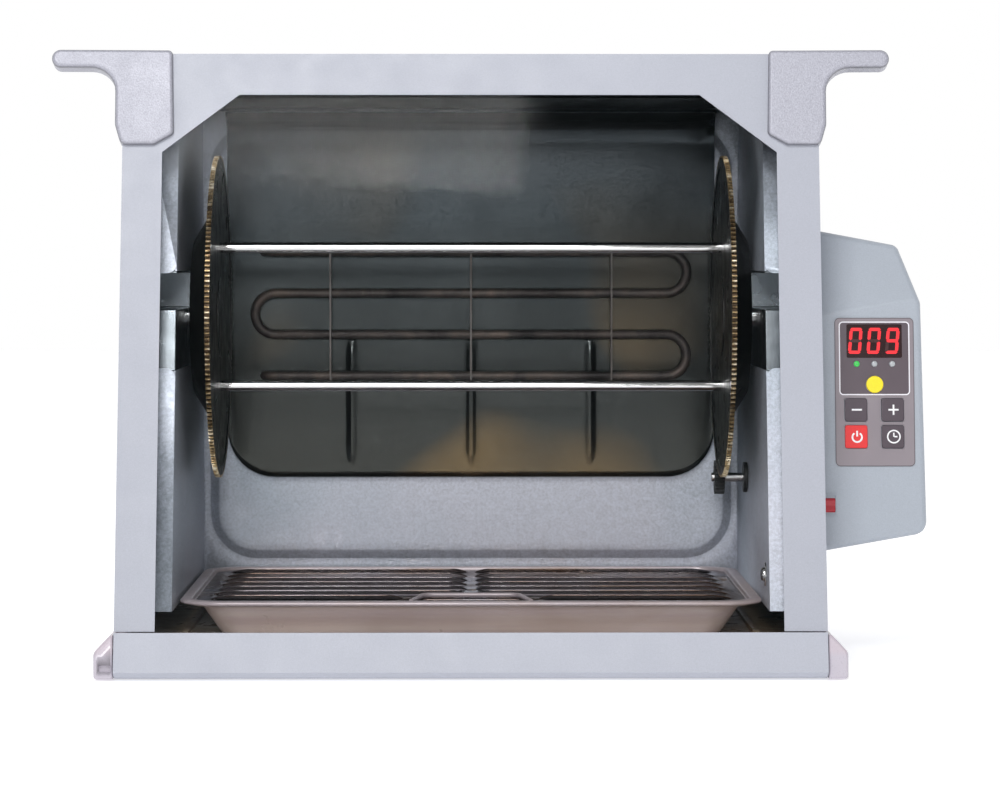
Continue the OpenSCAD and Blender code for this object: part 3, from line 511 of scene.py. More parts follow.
def dress_cad_nodes():
    slots = {row["node"]: row["material_slot"] for row in frame["record"]["subparts"]}
    for name, obj in frame["nodes"].items():
        obj.data.materials.clear()
        obj.data.materials.append(MATERIALS[NODE_PAINT.get(name, slots[name])])
        obj.data.shade_smooth()
        if name in PLAIN_EDGES:
            obj.data.set_sharp_from_angle(angle=math.radians(30))
        else:
            soften(obj, EDGE_RADIUS.get(name, DEFAULT_RADIUS))


dress_cad_nodes()

# ---- mesh kit


def rounded_loop(x0, y0, x1, y1, r, steps=8):
    """Counter-clockwise points of a rounded rectangle, the same count for any size."""
    points = []
    corners = ((x1 - r, y1 - r, 0), (x0 + r, y1 - r, 90), (x0 + r, y0 + r, 180), (x1 - r, y0 + r, 270))
    for cx, cy, start in corners:
        for k in range(steps + 1):
            a = math.radians(start + 90 * k / steps)
            points.append((cx + r * math.cos(a), cy + r * math.sin(a)))
    return points


def skin(loops, caps=0, closed=True):
    """Quads between successive loops of points; caps closes the last loop (1) or both ends (2)."""
    n = len(loops[0])
    verts = [p for loop in loops for p in loop]
    faces = []
    for i in range(len(loops) - 1):
        for k in range(n if closed else n - 1):
            j = (k + 1) % n
            faces.append((i * n + k, i * n + j, (i + 1) * n + j, (i + 1) * n + k))
    if caps > 1:
        faces.append(tuple(range(n - 1, -1, -1)))
    if caps:
        faces.append(tuple((len(loops) - 1) * n + k for k in range(n)))
    return verts, faces


def joined(*parts):
    """One (verts, faces) from several."""
    verts, faces = [], []
    for v, f in parts:
        base = len(verts)
        verts += [tuple(p) for p in v]
        faces += [tuple(i + base for i in face) for face in f]
    return verts, faces


def flipped(part):
    """The same part with its faces turned round."""
    verts, faces = part
    return verts, [tuple(reversed(f)) for f in faces]


def mirrored(part):
    """The same part on the other side of x = 0."""
    verts, faces = flipped(part)
    return [(-x, y, z) for x, y, z in verts], faces


def circle_points(cx, cy, r, steps=16):
    return [(cx + r * math.cos(2 * math.pi * k / steps), cy + r * math.sin(2 * math.pi * k / steps))
            for k in range(steps)]


def tube(points, radius, sides):
    """A round tube along level points, capped at its ends."""
    pts = [Vector(p) for p in points]
    up = Vector((0, 0, 1))
    loops = []
    for i, p in enumerate(pts):
        along = (pts[min(i + 1, len(pts) - 1)] - pts[max(i - 1, 0)]).normalized()
        side = along.cross(up).normalized()
        loops.append([tuple(p + radius * (x * side + y * up)) for x, y in circle_points(0, 0, 1, sides)])
    return skin(loops, 2)


def lathe(profile, sides=32):
    """Turns (radius, height) points about Z; the first and last are capped."""
    loops = [[(x, y, h) for x, y in circle_points(0, 0, r, sides)] for r, h in profile]
    return skin(loops, 2)


def sheet_with_holes(outline, holes):
    """Triangles of a flat (x, y) outline less its holes."""
    points, edges, faces = [], [], []
    for loop in [outline, *holes]:
        base = len(points)
        n = len(loop)
        points += [Vector(p) for p in loop]
        edges += [(base + k, base + (k + 1) % n) for k in range(n)]
        faces.append(list(range(base, base + n)))
    found = delaunay_2d_cdt(points, edges, faces, 2, 1e-5)
    return [tuple(p) for p in found[0]], [tuple(f) for f in found[2]]


def moved(part, matrix):
    verts, faces = part
    return [tuple(matrix @ Vector(v)) for v in verts], faces


def make_piece(name, part, slot, body="oven_body", paint=None, base=CAVITY, replaces=None, sharp=35, weld=0.0):
    """A mesh object from millimetre points in one of the local frames; paint, if not the slot's own."""
    verts, faces = part
    mesh = bpy.data.meshes.new(name)
    mesh.from_pydata([base @ (Vector(v) * MM) for v in verts], [], faces)
    mesh.validate()
    obj = added(name, mesh)
    if weld:
        obj.modifiers.new("weld", "WELD").merge_threshold = weld * MM
    mesh.shade_smooth()
    mesh.set_sharp_from_angle(angle=math.radians(sharp))
    mesh.materials.append(MATERIALS[paint or slot])
    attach(obj, body)
    if replaces:
        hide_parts(replaces)
    return obj


def thicken(obj, thickness, offset=-1.0):
    solid = obj.modifiers.new("sheet", "SOLIDIFY")
    solid.thickness = thickness * MM
    solid.offset = offset


# ---- door handles


def filleted(corners, steps):
    """The closed outline of (x, y, radius) corners, each turned into an arc."""
    result = []
    points = [corner[:2] for corner in corners]
    n = len(points)
    for i, (_, _, r) in enumerate(corners):
        p = Vector(points[i])
        a = (Vector(points[i - 1]) - p).normalized()
        b = (Vector(points[(i + 1) % n]) - p).normalized()
        half = a.angle(b) / 2
        centre = p + (a + b).normalized() * (r / math.sin(half))
        foot = r / math.tan(half)
        start, end = p + a * foot - centre, p + b * foot - centre
        sweep = start.angle_signed(end)
        for k in range(steps + 1):
            c, s = math.cos(-sweep * k / steps), math.sin(-sweep * k / steps)
            result.append((centre.x + start.x * c - start.y * s, centre.y + start.x * s + start.y * c))
    return result


def shrunk(points, d):
    """A clockwise closed outline moved inwards by d, corner by corner."""
    result = []
    n = len(points)
    for i in range(n):
        p = Vector(points[i])
        a = (p - Vector(points[i - 1])).normalized()
        b = (Vector(points[(i + 1) % n]) - p).normalized()
        na, nb = Vector((a.y, -a.x)), Vector((b.y, -b.x))
        result.append(tuple(p + (na + nb) * d / (1 + na.dot(nb))))
    return result


HANDLE_TOP = (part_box("door_handle_right")[1].z / MM + HANDLE_FRONT * math.sin(DOOR_LEAN)) / math.cos(DOOR_LEAN)
GRIP_END = (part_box("door_handle_right")[1].x - MID_X) / MM
GRIP_RADIUS, HANDLE_EDGE = 5.4, 2.3
GRIP_LOW = HANDLE_TOP - 2 * GRIP_RADIUS - 0.4
# (x, height along the door, corner radius) clockwise round the right-hand handle: corner cap and sideways grip
HANDLE = [
    (184.2, HANDLE_TOP - 0.4, 2.8), (GRIP_END, HANDLE_TOP, GRIP_RADIUS), (GRIP_END, GRIP_LOW, GRIP_RADIUS),
    (219.3, GRIP_LOW - 0.2, 15.4), (219.1, 343.2, 9.0), (215.4, 330.5, 4.8), (194.9, 330.5, 5.0),
    (182.8, 337.3, 3.6),
]


def make_handles():
    outline = filleted(HANDLE, 8)
    rings = [(1.2, HANDLE_BACK), (0.3, HANDLE_BACK - 0.4), (0.0, HANDLE_BACK - 1.4)]
    rings += [(HANDLE_EDGE * (1 - math.cos(a)), HANDLE_FRONT + HANDLE_EDGE * (1 - math.sin(a)))
              for a in (math.pi / 2 * k / 8 for k in range(9))]
    for side, name in ((1, "right"), (-1, "left")):
        loops = [[(side * x, depth, v) for x, v in shrunk(outline, d)] for d, depth in rings]
        part = skin(loops, 2)
        if side > 0:
            part = flipped(part)
        obj = make_piece("moulded_handle_" + name, part, "handle_plastic", "door", base=DOOR,
                         replaces="door_handle_" + name, sharp=70)
        weigh_normals(obj)


make_handles()

# ---- feet

FOOT_FRONT, FOOT_BACK, FOOT_STEP = -174.0, 154.0, -138.0
FOOT_OUTER = (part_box("foot_right")[1].x - MID_X) / MM
FOOT_EDGE, FOOT_FLAT = 1.8, 1.2
# Clockwise (x, height, corner radius) round the skirt and (x, height) round the ledge that carries the casing
SKIRT = [(214.9, 27.4, 0.4), (216.8, 27.4, 1.4), (FOOT_OUTER, 17.0, 5.5), (FOOT_OUTER, 1.0, 2.0),
         (214.9, 1.0, 0.4)]
LEDGE = [(209.5, 27.4), (214.9, 27.4), (214.9, 1.0), (190.0, 1.0), (190.0, 10.0), (209.5, 10.0)]
SLOT_LOW, SLOT_HIGH, SLOT_DEPTH = (215.6, 5.6), (223.4, 9.8), 2.6


def make_feet():
    outline = filleted(SKIRT, 6)
    # The rounding stops FOOT_FLAT inside the outline, where the skirt's short corners would cross over
    rings = [(min(FOOT_EDGE * (1 - math.sin(a)), FOOT_FLAT), FOOT_FRONT + FOOT_EDGE * (1 - math.cos(a)))
             for a in (math.pi / 2 * k / 5 for k in range(6))]
    rings += [(0.0, FOOT_BACK - 1.0), (0.3, FOOT_BACK - 0.3), (1.0, FOOT_BACK)]
    ledge = skin([[(x, y, z) for x, z in LEDGE] for y in (FOOT_STEP, FOOT_BACK - 0.2)], 2)
    for side, name in ((1, "right"), (-1, "left")):
        loops = [[(x, y, z) for x, z in shrunk(outline, d)] for d, y in rings]
        slots = [rounded_loop(*SLOT_LOW, *SLOT_HIGH, 0.5, 3)] if side < 0 else []
        front, faces = sheet_with_holes([(x, z) for x, _, z in loops[0]], slots)
        parts = [skin(loops, 1), ([(x, FOOT_FRONT, z) for x, z in front], faces), ledge]
        for slot in slots:
            pocket = [[(x, y, z) for x, z in slot] for y in (FOOT_FRONT, FOOT_FRONT + SLOT_DEPTH)]
            verts, quads = skin(pocket, 1)
            parts.append((verts, [tuple(reversed(f)) for f in quads[:-1]] + [quads[-1]]))
        part = joined(*parts)
        obj = make_piece("moulded_foot_" + name, mirrored(part) if side < 0 else part, "foot_plastic",
                         replaces="foot_" + name, sharp=50, weld=0.02)
        weigh_normals(obj)


make_feet()

# ---- pod shell

pod_low, pod_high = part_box("pod_front")
POD_INNER = (pod_low.x - MID_X) / MM
POD_OUTER = (pod_high.x - MID_X) / MM
POD_SEAM_Y, POD_SEAM_GAP = 20.0, 0.5
POD_BACK_Y = 85.0
POD_EDGE = 4.6
POD_WALL = 2.0
POD_VENTS = [(230, 128.2 + 10 * k, 266, 131.8 + 10 * k) for k in range(6)]
# (x, height) round the front view, clockwise from the top inner corner
POD_FACE = [(POD_INNER, 273.2), (271.2, 261.3), (284.3, 224.8), (POD_OUTER, 85.0), (POD_OUTER - 4, 80.2),
            (POD_INNER, 67.4)]
POD_SLOPE_LOW, POD_SLOPE = 252.0, Vector((0, 28, 19)).normalized()
BROW_AT = (PANEL_CX, 223.0)
BROW_TURN = Matrix.Rotation(math.radians(-6.9), 4, "Y") @ Matrix.Rotation(math.radians(-26), 4, "X")


def cut_away(bm, point, normal):
    """Keeps the part of the solid behind the plane and closes the cut."""
    geom = bm.verts[:] + bm.edges[:] + bm.faces[:]
    found = bmesh.ops.bisect_plane(bm, geom=geom, dist=1e-4, plane_co=point, plane_no=normal, clear_outer=True)
    rim = [e for e in found["geom_cut"] if isinstance(e, bmesh.types.BMEdge)]
    if rim:
        bmesh.ops.edgeloop_fill(bm, edges=rim)


def pod_solid():
    """Closed convex pod, in millimetres of the CAVITY frame."""
    panel_y = (PANEL_Y - SPIT_Y) / MM
    panel_z = PANEL_Z / MM
    bm = bmesh.new()
    bmesh.ops.create_cube(bm, size=1000)
    cuts = [((0, panel_y, panel_z), (0, -math.cos(PANEL_LEAN), math.sin(PANEL_LEAN))),
            ((POD_INNER, 0, 0), (-1, 0, 0)), ((0, POD_BACK_Y, 0), (0, 1, 0)),
            ((0, POD_BACK_Y, POD_SLOPE_LOW), POD_SLOPE)]
    for (x0, z0), (x1, z1) in zip(POD_FACE, POD_FACE[1:]):
        cuts.append(((x0, 0, z0), Vector((z0 - z1, 0, x1 - x0)).normalized()))
    brow_y = panel_y + (BROW_AT[1] - panel_z) * math.tan(PANEL_LEAN)
    cuts.append(((BROW_AT[0], brow_y, BROW_AT[1]), BROW_TURN @ Vector((0, -1, 0))))
    for point, normal in cuts:
        cut_away(bm, point, normal)
    return bm


def rounded_pod():
    """The pod with soft edges, except where it meets the casing; the brow's crease stays tight."""
    bm = pod_solid()
    bm.normal_update()
    weights = bm.edges.layers.float.new("bevel_weight_edge")
    for edge in bm.edges:
        at_casing = all(v.co.x < POD_INNER + 0.01 for v in edge.verts)
        turn = edge.calc_face_angle(0)
        edge[weights] = 0.0 if at_casing else (0.35 if turn < math.radians(30) else 1.0)
    mesh = bpy.data.meshes.new("pod_blank")
    bm.to_mesh(mesh)
    bm.free()
    blank = added("pod_blank", mesh)
    bevel = blank.modifiers.new("edges", "BEVEL")
    bevel.width = POD_EDGE
    bevel.segments = 5
    bevel.limit_method = "WEIGHT"
    depsgraph = bpy.context.evaluated_depsgraph_get()
    result = bmesh.new()
    result.from_mesh(blank.evaluated_get(depsgraph).to_mesh())
    bpy.data.objects.remove(blank)
    bpy.data.meshes.remove(mesh)
    bmesh.ops.recalc_face_normals(result, faces=result.faces[:])
    return result


def shell_half(rear):
    """(verts, faces) of the part of the pod in front of or behind the seam, open at the casing."""
    bm = rounded_pod()
    inner = [f for f in bm.faces if all(v.co.x < POD_INNER + 0.01 for v in f.verts)]
    bmesh.ops.delete(bm, geom=inner, context="FACES_ONLY")
    seam = POD_SEAM_Y + POD_SEAM_GAP / 2 * (1 if rear else -1)
    bmesh.ops.bisect_plane(bm, geom=bm.verts[:] + bm.edges[:] + bm.faces[:], dist=1e-4,
                           plane_co=(0, seam, 0), plane_no=(0, -1 if rear else 1, 0), clear_outer=True)
    slotted = []
    if rear:
        back = max((f for f in bm.faces if all(v.co.y > POD_BACK_Y - 0.01 for v in f.verts)),
                   key=lambda f: f.calc_area())
        outline = [(v.co.x, v.co.z) for v in back.verts]
        flat, faces = sheet_with_holes(outline, [rounded_loop(*vent, 1.79, 4) for vent in POD_VENTS])
        slotted.append(flipped(([(x, POD_BACK_Y, z) for x, z in flat], faces)))
        bmesh.ops.delete(bm, geom=[back], context="FACES_ONLY")
    bm.verts.index_update()
    verts = [tuple(v.co) for v in bm.verts]
    faces = [tuple(v.index for v in f.verts) for f in bm.faces]
    bm.free()
    return joined((verts, faces), *slotted)


def make_pod():
    for rear, name, node in ((False, "pod_face_shell", "pod_front"), (True, "pod_back_shell", "pod_rear")):
        obj = make_piece(name, shell_half(rear), "pod_plastic", replaces=node, sharp=40, weld=0.02)
        thicken(obj, POD_WALL)
        weigh_normals(obj)


make_pod()

# ---- drip tray and grate

TRAY_HALF = 180.0
TRAY_FRONT, TRAY_BACK = -130.0, 115.0
TRAY_FOOT, TRAY_LEDGE, TRAY_RIM = 20.0, 40.5, 43.5

# From the inner floor up to the ledge, over the rim's rounded lip and back down the underside: a height, then
# (inset from the rim, height above that, corner radius)
TRAY_PROFILE = [
    (TRAY_FOOT, (34.0, 1.3, 10), (28.0, 1.4, 13), (25.6, 2.2, 15), (24.3, 4.2, 16)),
    (TRAY_LEDGE, (15.6, -2.0, 19), (14.6, -0.5, 19.6), (13.4, 0.0, 20), (8.6, 0.0, 21), (7.8, 0.3, 21.4),
     (7.5, 1.0, 21.6)),
    (TRAY_RIM, (7.4, -0.7, 21.7), (7.0, -0.2, 22), (6.2, 0.0, 22.4), (2.4, 0.0, 25), (1.2, -0.15, 26),
     (0.4, -0.6, 26.4), (0.0, -1.3, 26.6), (0.0, -2.0, 26.6), (0.4, -2.6, 26.4), (1.0, -2.6, 26),
     (1.3, -2.0, 25.8), (1.6, -1.3, 25.6), (5.8, -1.2, 22.6), (6.3, -1.6, 22.4)),
    (TRAY_LEDGE, (6.4, -0.6, 22.4), (7.0, -1.1, 22), (12.4, -1.2, 20.6), (13.2, -1.8, 20.4)),
    (TRAY_FOOT, (23.0, 3.4, 16), (24.8, 1.0, 15), (27.0, 0.0, 14), (34.0, 0.0, 10)),
]


def make_tray():
    loops = []
    for base, *rows in TRAY_PROFILE:
        for d, up, r in rows:
            loop = rounded_loop(-TRAY_HALF + d, TRAY_FRONT + d, TRAY_HALF - d, TRAY_BACK - d, r, 10)
            loops.append([(x, y, base + up) for x, y in loop])
    make_piece("drip_tray_pressing", skin(loops, 2), "tray_steel", "drip_tray", replaces="drip_tray", sharp=60)


GRATE_GAP = 9.0
GRATE_HALF = TRAY_HALF - GRATE_GAP
GRATE_FRONT, GRATE_BACK = TRAY_FRONT + GRATE_GAP, TRAY_BACK - GRATE_GAP
GRATE_TOP, GRATE_CORNER = 41.6, 18.0
SKIRT_INSET, SKIRT_LOW = 11.0, 4.2
GRATE_SHEET, SKIRT_SHEET = 0.9, 1.0
BEAD_UP, BEAD_RADIUS = 1.2, 1.4
LOUVRE_ROWS, LOUVRE_PITCH, LOUVRE_FIRST, LOUVRE_RISE = 7, 30.0, 22.0, 3.2
LOUVRE_BACK, LOUVRE_LIP, LOUVRE_GAP = 12.0, -4.0, -8.0
LOUVRE_END, LOUVRE_INNER_END = 13.0, 8.0
LOUVRE_INNER, LOUVRE_OUTER, LOUVRE_BY_NOTCH = 2.5, 162.0, 42.0
RIVET_HOLE = (166.0, 27.0, 2.2)
NOTCH_HALF_FRONT, NOTCH_HALF_BACK, NOTCH_DEPTH, NOTCH_RADIUS = 37.0, 31.0, 41.0, 7.0


def louvre(x0, x1, yc):
    """A raised flap, open to the front, that tapers down to the sheet at both ends."""
    columns, rows = 40, 7
    loops = []
    for i in range(columns + 1):
        x = x0 + (x1 - x0) * (0.5 - 0.5 * math.cos(math.pi * i / columns))
        inner, outer = sorted((abs(x0), abs(x1)))
        end = min(1.0, (abs(x) - inner) / LOUVRE_INNER_END, (outer - abs(x)) / LOUVRE_END)
        rise = LOUVRE_RISE * end ** 0.6
        lip = LOUVRE_LIP + (1 - end) * 6.0
        loops.append([(x, yc + LOUVRE_BACK + (lip - LOUVRE_BACK) * j / rows,
                       GRATE_TOP + rise * math.sin(math.pi / 2 * (j / rows)) ** 1.3) for j in range(rows + 1)])
    return skin(loops, closed=False)


def notch_path():
    """Outline of the finger notch in the grate's front edge, from its right foot round to its left."""
    y_back = GRATE_FRONT + NOTCH_DEPTH
    cx, cy = NOTCH_HALF_BACK - NOTCH_RADIUS, y_back - NOTCH_RADIUS
    right = [(NOTCH_HALF_FRONT, GRATE_FRONT)]
    right += [(cx + NOTCH_RADIUS * math.cos(a), cy + NOTCH_RADIUS * math.sin(a))
              for a in (math.radians(12 + 78 * k / 8) for k in range(9))]
    return right + [(-x, y) for x, y in reversed(right)]


def make_grate():
    notch = notch_path()
    outer = rounded_loop(-GRATE_HALF, GRATE_FRONT, GRATE_HALF, GRATE_BACK, GRATE_CORNER)
    start = min((k for k, p in enumerate(outer) if p[1] < GRATE_FRONT + 0.01 and p[0] > 0),
                key=lambda k: outer[k][0])
    outline = outer[start:] + outer[:start] + list(reversed(notch))
    flaps, holes = [], [circle_points(*RIVET_HOLE)]
    for side in (-1, 1):
        for k in range(LOUVRE_ROWS):
            yc = GRATE_BACK - LOUVRE_FIRST - LOUVRE_PITCH * k
            near = LOUVRE_BY_NOTCH if k == LOUVRE_ROWS - 1 else LOUVRE_INNER
            x0, x1 = sorted((side * near, side * LOUVRE_OUTER))
            flaps.append(louvre(x0, x1, yc))
            holes.append([(x0, yc + LOUVRE_LIP + 6), (x0 + 10, yc + LOUVRE_GAP), (x1 - 10, yc + LOUVRE_GAP),
                          (x1, yc + LOUVRE_LIP + 6), (x1, yc + LOUVRE_BACK), (x0, yc + LOUVRE_BACK)])
    flat, faces = sheet_with_holes(outline, holes)
    flat = [(x, y, GRATE_TOP) for x, y in flat]
    d = SKIRT_INSET
    skirt = [[(x, y, GRATE_TOP + z) for x, y in rounded_loop(-GRATE_HALF + d, GRATE_FRONT + NOTCH_DEPTH + 3,
                                                             GRATE_HALF - d, GRATE_BACK - d, 7)]
             for z in (-0.5, -SKIRT_LOW)]
    on_grate = ("tray_steel", "tray_grate")
    thicken(make_piece("louvred_grate", joined((flat, faces), *flaps), *on_grate, "grate_steel",
                       replaces="tray_grate", sharp=40, weld=0.02), GRATE_SHEET)
    thicken(make_piece("grate_stiffening_skirt", skin(skirt), *on_grate, "grate_steel", sharp=60), SKIRT_SHEET)
    bead = [(x, y, GRATE_TOP + BEAD_UP) for x, y in notch]
    make_piece("grate_notch_bead", tube(bead, BEAD_RADIUS, 14), *on_grate, sharp=60)


make_tray()
make_grate()

# ---- back liner and heat reflector

BACK_SHEET = 0.8
BACK_Y = 120.0
LINER_HALF = 183.0
LINER_LOW, LINER_TOP = 20.0, 353.0
GROOVE_HALF, GROOVE_LOW, GROOVE_TOP, GROOVE_RADIUS = 174.0, 52.0, 341.0, 28.0
PRESSED_FORWARD = 4.2
# (offset outwards from the step's middle, share of the step's height)
STEP_PROFILE = [(7.0, 0.0), (3.8, 0.0), (3.1, 0.03), (2.5, 0.12), (-1.9, 0.88), (-2.5, 0.97), (-3.2, 1.0),
                (-8.0, 1.0)]


def make_back_liner():
    """A flat sheet whose middle is pressed forward, inside a sloping band with round corners."""
    loops = [[(x, BACK_Y, z) for x, z in rounded_loop(-LINER_HALF, LINER_LOW, LINER_HALF, LINER_TOP, 0.5, 12)]]
    for off, share in STEP_PROFILE:
        loop = rounded_loop(-GROOVE_HALF - off, GROOVE_LOW - off, GROOVE_HALF + off, GROOVE_TOP + off,
                            GROOVE_RADIUS + off, 12)
        loops.append([(x, BACK_Y - PRESSED_FORWARD * share, z) for x, z in loop])
    thicken(make_piece("back_liner_pressing", skin(loops, 1), "galvanised", replaces="liner_back",
                       sharp=60), BACK_SHEET, 1.0)


REFLECTOR_Y = 111.0
REFLECTOR_HALF = 165.0
REFLECTOR_LOW = SPIT_UP - 110.8
REFLECTOR_TOP = SPIT_UP + 136.0
REFLECTOR_BEND = 20.0
REFLECTOR_CORNER = 32.0
RIB_X = (-80.8, 0.0, 80.8)
RIB_LOW, RIB_TOP = SPIT_UP - 99.0, SPIT_UP - 21.0


def reflector_point(x, s, low):
    """s runs from 0 at the lower edge up the sheet; the last stretch bends forward."""
    straight = REFLECTOR_TOP - REFLECTOR_BEND - low
    arc = REFLECTOR_BEND * math.pi / 2
    length = s * (straight + arc)
    if length > straight:
        a = (length - straight) / REFLECTOR_BEND
        return (x, REFLECTOR_Y - REFLECTOR_BEND * (1 - math.cos(a)),
                low + straight + REFLECTOR_BEND * math.sin(a))
    z = low + length
    rib = 0.0
    for rx in RIB_X:
        ends = min(1.0, max(0.0, min(z - RIB_LOW + 4, RIB_TOP + 4 - z) / 8))
        rib = max(rib, ends * math.exp(-((x - rx) / 2.6) ** 2))
    return (x, REFLECTOR_Y - 1.5 * rib, z)


def make_reflector():
    xs = sorted({round(-REFLECTOR_HALF + 2 * REFLECTOR_HALF * k / 60, 2) for k in range(61)}
                | {round(rx + s * d, 2) for rx in RIB_X for s in (-1, 1) for d in (0, 0.8, 1.6, 2.6, 3.6, 5)}
                | {round(s * (REFLECTOR_HALF - REFLECTOR_CORNER * (1 - math.cos(math.radians(a)))), 2)
                   for s in (-1, 1) for a in range(0, 90, 9)})
    loops = []
    for x in xs:
        over = max(0.0, abs(x) - (REFLECTOR_HALF - REFLECTOR_CORNER))
        low = REFLECTOR_LOW + REFLECTOR_CORNER - math.sqrt(max(0.0, REFLECTOR_CORNER ** 2 - over ** 2))
        loops.append([reflector_point(x, k / 60, low) for k in range(61)])
    thicken(make_piece("reflector_sheet", skin(loops, closed=False), "reflector_steel",
                       replaces="heat_reflector", sharp=60), BACK_SHEET)


make_back_liner()
make_reflector()

# ---- screws


def cross_head(radius, height):
    """A domed screw head standing on z = 0, with a cross recess cut as sunken arms."""
    rings = [(1.0, 0.0), (1.0, 0.35), (0.93, 0.62), (0.78, 0.86), (0.6, 0.97)]
    loops = [[(x, y, height * h) for x, y in circle_points(0, 0, radius * f, 32)] for f, h in rings]
    arm, width = 0.46 * radius, 0.11 * radius
    corners = []
    for q in range(4):
        turn = Matrix.Rotation(math.pi / 2 * q, 2)
        corners += [tuple(turn @ Vector(p)) for p in ((arm, -width), (arm, width), (width, width))]
    flat, faces = sheet_with_holes([point[:2] for point in loops[-1]], [corners])
    top = [(x, y, height * 0.97) for x, y in flat]
    wall = skin([[(x, y, height * 0.97) for x, y in corners],
                 [(x * 0.8, y * 0.8, height * 0.3) for x, y in corners]], 1)
    return joined(skin(loops), (top, faces), wall)


def turned(normal, at):
    """A matrix that stands +Z along normal at a point."""
    rotation = Vector((0, 0, 1)).rotation_difference(Vector(normal)).to_matrix().to_4x4()
    return Matrix.Translation(at) @ rotation


LINER_SCREW, WASHER_HEIGHT = (182.0, -112.0, 58.5), 1.0
WASHER = [(2.0, 0.0), (7.275, 0.0), (7.5, 0.4), (7.2, WASHER_HEIGHT), (2.0, WASHER_HEIGHT)]
BACK_SCREW_X, BACK_SCREW_Z = (-120.0, 120.0), 30.0
SIDE_SCREWS = ((-120.0, 60.0), (142.0, 45.0), (142.0, 295.0), (-60.0, 350.0))
REAR_SCREWS = [(x, z) for x in (-195.0, 0.0, 195.0) for z in (25.0, 300.0)]


def make_screws():
    def screw(normal, at, radius=3.4, height=1.6):
        return moved(cross_head(radius, height), turned(normal, at))

    x, y, z = LINER_SCREW
    liner = [moved(lathe(WASHER), turned((-1, 0, 0), LINER_SCREW)),
             screw((-1, 0, 0), (x - WASHER_HEIGHT, y, z), 4.2, 2.3)]
    liner += [screw((0, -1, 0), (x, BACK_Y, BACK_SCREW_Z)) for x in BACK_SCREW_X]
    side_x = (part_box("side_panel_right")[1].x - MID_X) / MM
    back_y = (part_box("rear_panel")[1].y - SPIT_Y) / MM
    case = [screw((side, 0, 0), (side * side_x, y, z)) for side in (-1, 1) for y, z in SIDE_SCREWS]
    case += [screw((0, 1, 0), (x, back_y, z)) for x, z in REAR_SCREWS]
    for name, heads in (("liner", liner), ("case", case)):
        make_piece(name + "_screw_heads", joined(*heads), "screw_steel", replaces=name + "_screws", weld=0.01)


make_screws()

# ---- control panel

DIGIT_TOP, DIGIT_LOW = -10.3, -26.8
DIGIT_WIDTH = 8.2
DIGIT_SLANT = math.tan(math.radians(5))
DIGIT_CENTRES = (242.6, 254.3, 266.0)
STROKE = 2.0
# Which of the seven segments glow: top, upper right, lower right, bottom, lower left, upper left, middle
SEGMENTS = {"0": (1, 1, 1, 1, 1, 1, 0), "9": (1, 1, 1, 1, 0, 1, 1)}
SIGN_T = 0.12


def bar(points, front, thickness):
    """A flat plate from (x, v) points in the panel frame, its back at depth front."""
    near = [(x, front - thickness, v) for x, v in points]
    far = [(x, front, v) for x, v in points]
    return skin([far, near], 2)


def segment_bars(centre):
    """The seven bars of one digit, in the order of SEGMENTS, as hexagons."""
    left, right = centre - DIGIT_WIDTH / 2, centre + DIGIT_WIDTH / 2
    top, low = DIGIT_TOP, DIGIT_LOW
    middle = (top + low) / 2
    h, gap = STROKE / 2, 0.25

    def level(v):
        x0, x1 = left + gap, right - gap
        return [(x0 + h, v - h), (x1 - h, v - h), (x1, v), (x1 - h, v + h), (x0 + h, v + h), (x0, v)]

    def upright(x, v0, v1):
        v0, v1 = v0 + gap, v1 - gap
        return [(x, v0), (x + h, v0 + h), (x + h, v1 - h), (x, v1), (x - h, v1 - h), (x - h, v0 + h)]

    bars = [level(top - h), upright(right - h, middle, top - h), upright(right - h, low + h, middle),
            level(low + h), upright(left + h, low + h, middle), upright(left + h, middle, top - h),
            level(middle)]
    return [[(x + (v - middle) * DIGIT_SLANT, v) for x, v in shape] for shape in bars]


def make_digits():
    for name, on, paint in (("lit", 1, "segment_red"), ("dark", 0, "segment_off")):
        bars = [bar(shape, -OVERLAY_T, SIGN_T) for centre, digit in zip(DIGIT_CENTRES, "009")
                for state, shape in zip(SEGMENTS[digit], segment_bars(centre)) if state == on]
        make_piece("display_segments_" + name, joined(*bars), "led_module", paint=paint, base=PANEL)


LED_V, LED_DX, LED_RADIUS = -33.2, 11.2, 1.85


def make_lamps():
    """Three domed lenses; the left one is lit."""
    dome = lathe([(LED_RADIUS, -2.0), (LED_RADIUS, 0.5), (LED_RADIUS * 0.93, 0.9), (LED_RADIUS * 0.72, 1.15),
                  (LED_RADIUS * 0.4, 1.28), (0.05, 1.33)], 24)
    for k, name in enumerate(("lamp_left", "lamp_middle", "lamp_right")):
        at = (PANEL_CX + (k - 1) * LED_DX, 0, LED_V)
        first = {} if k else {"paint": "lamp_green", "replaces": "indicator_leds"}
        make_piece(name, moved(dome, turned((0, -1, 0), at)), "lamp", base=PANEL, **first)


KEY_DX = 11.55
KEY_UPPER_V, KEY_LOWER_V = -62.4, -79.4
KEY_FACE = -OVERLAY_T - 1.2


def rect(cx, cy, w, h):
    return [(cx + x * w / 2, cy + y * h / 2) for x, y in ((-1, -1), (1, -1), (1, 1), (-1, 1))]


def ring_arc(cx, cv, r, width, a0, a1, steps=28):
    """A flat ring or part of one, as quads between two arcs."""
    angles = [math.radians(a0 + (a1 - a0) * k / steps) for k in range(steps + 1)]
    parts = []
    for a, b in zip(angles, angles[1:]):
        quad = [(cx + q * math.cos(t), cv + q * math.sin(t))
                for q, t in ((r - width / 2, a), (r + width / 2, a), (r + width / 2, b), (r - width / 2, b))]
        parts.append(bar(quad, KEY_FACE, SIGN_T))
    return joined(*parts)


def key_sign(*shapes):
    return joined(*[bar(s, KEY_FACE, SIGN_T) for s in shapes])


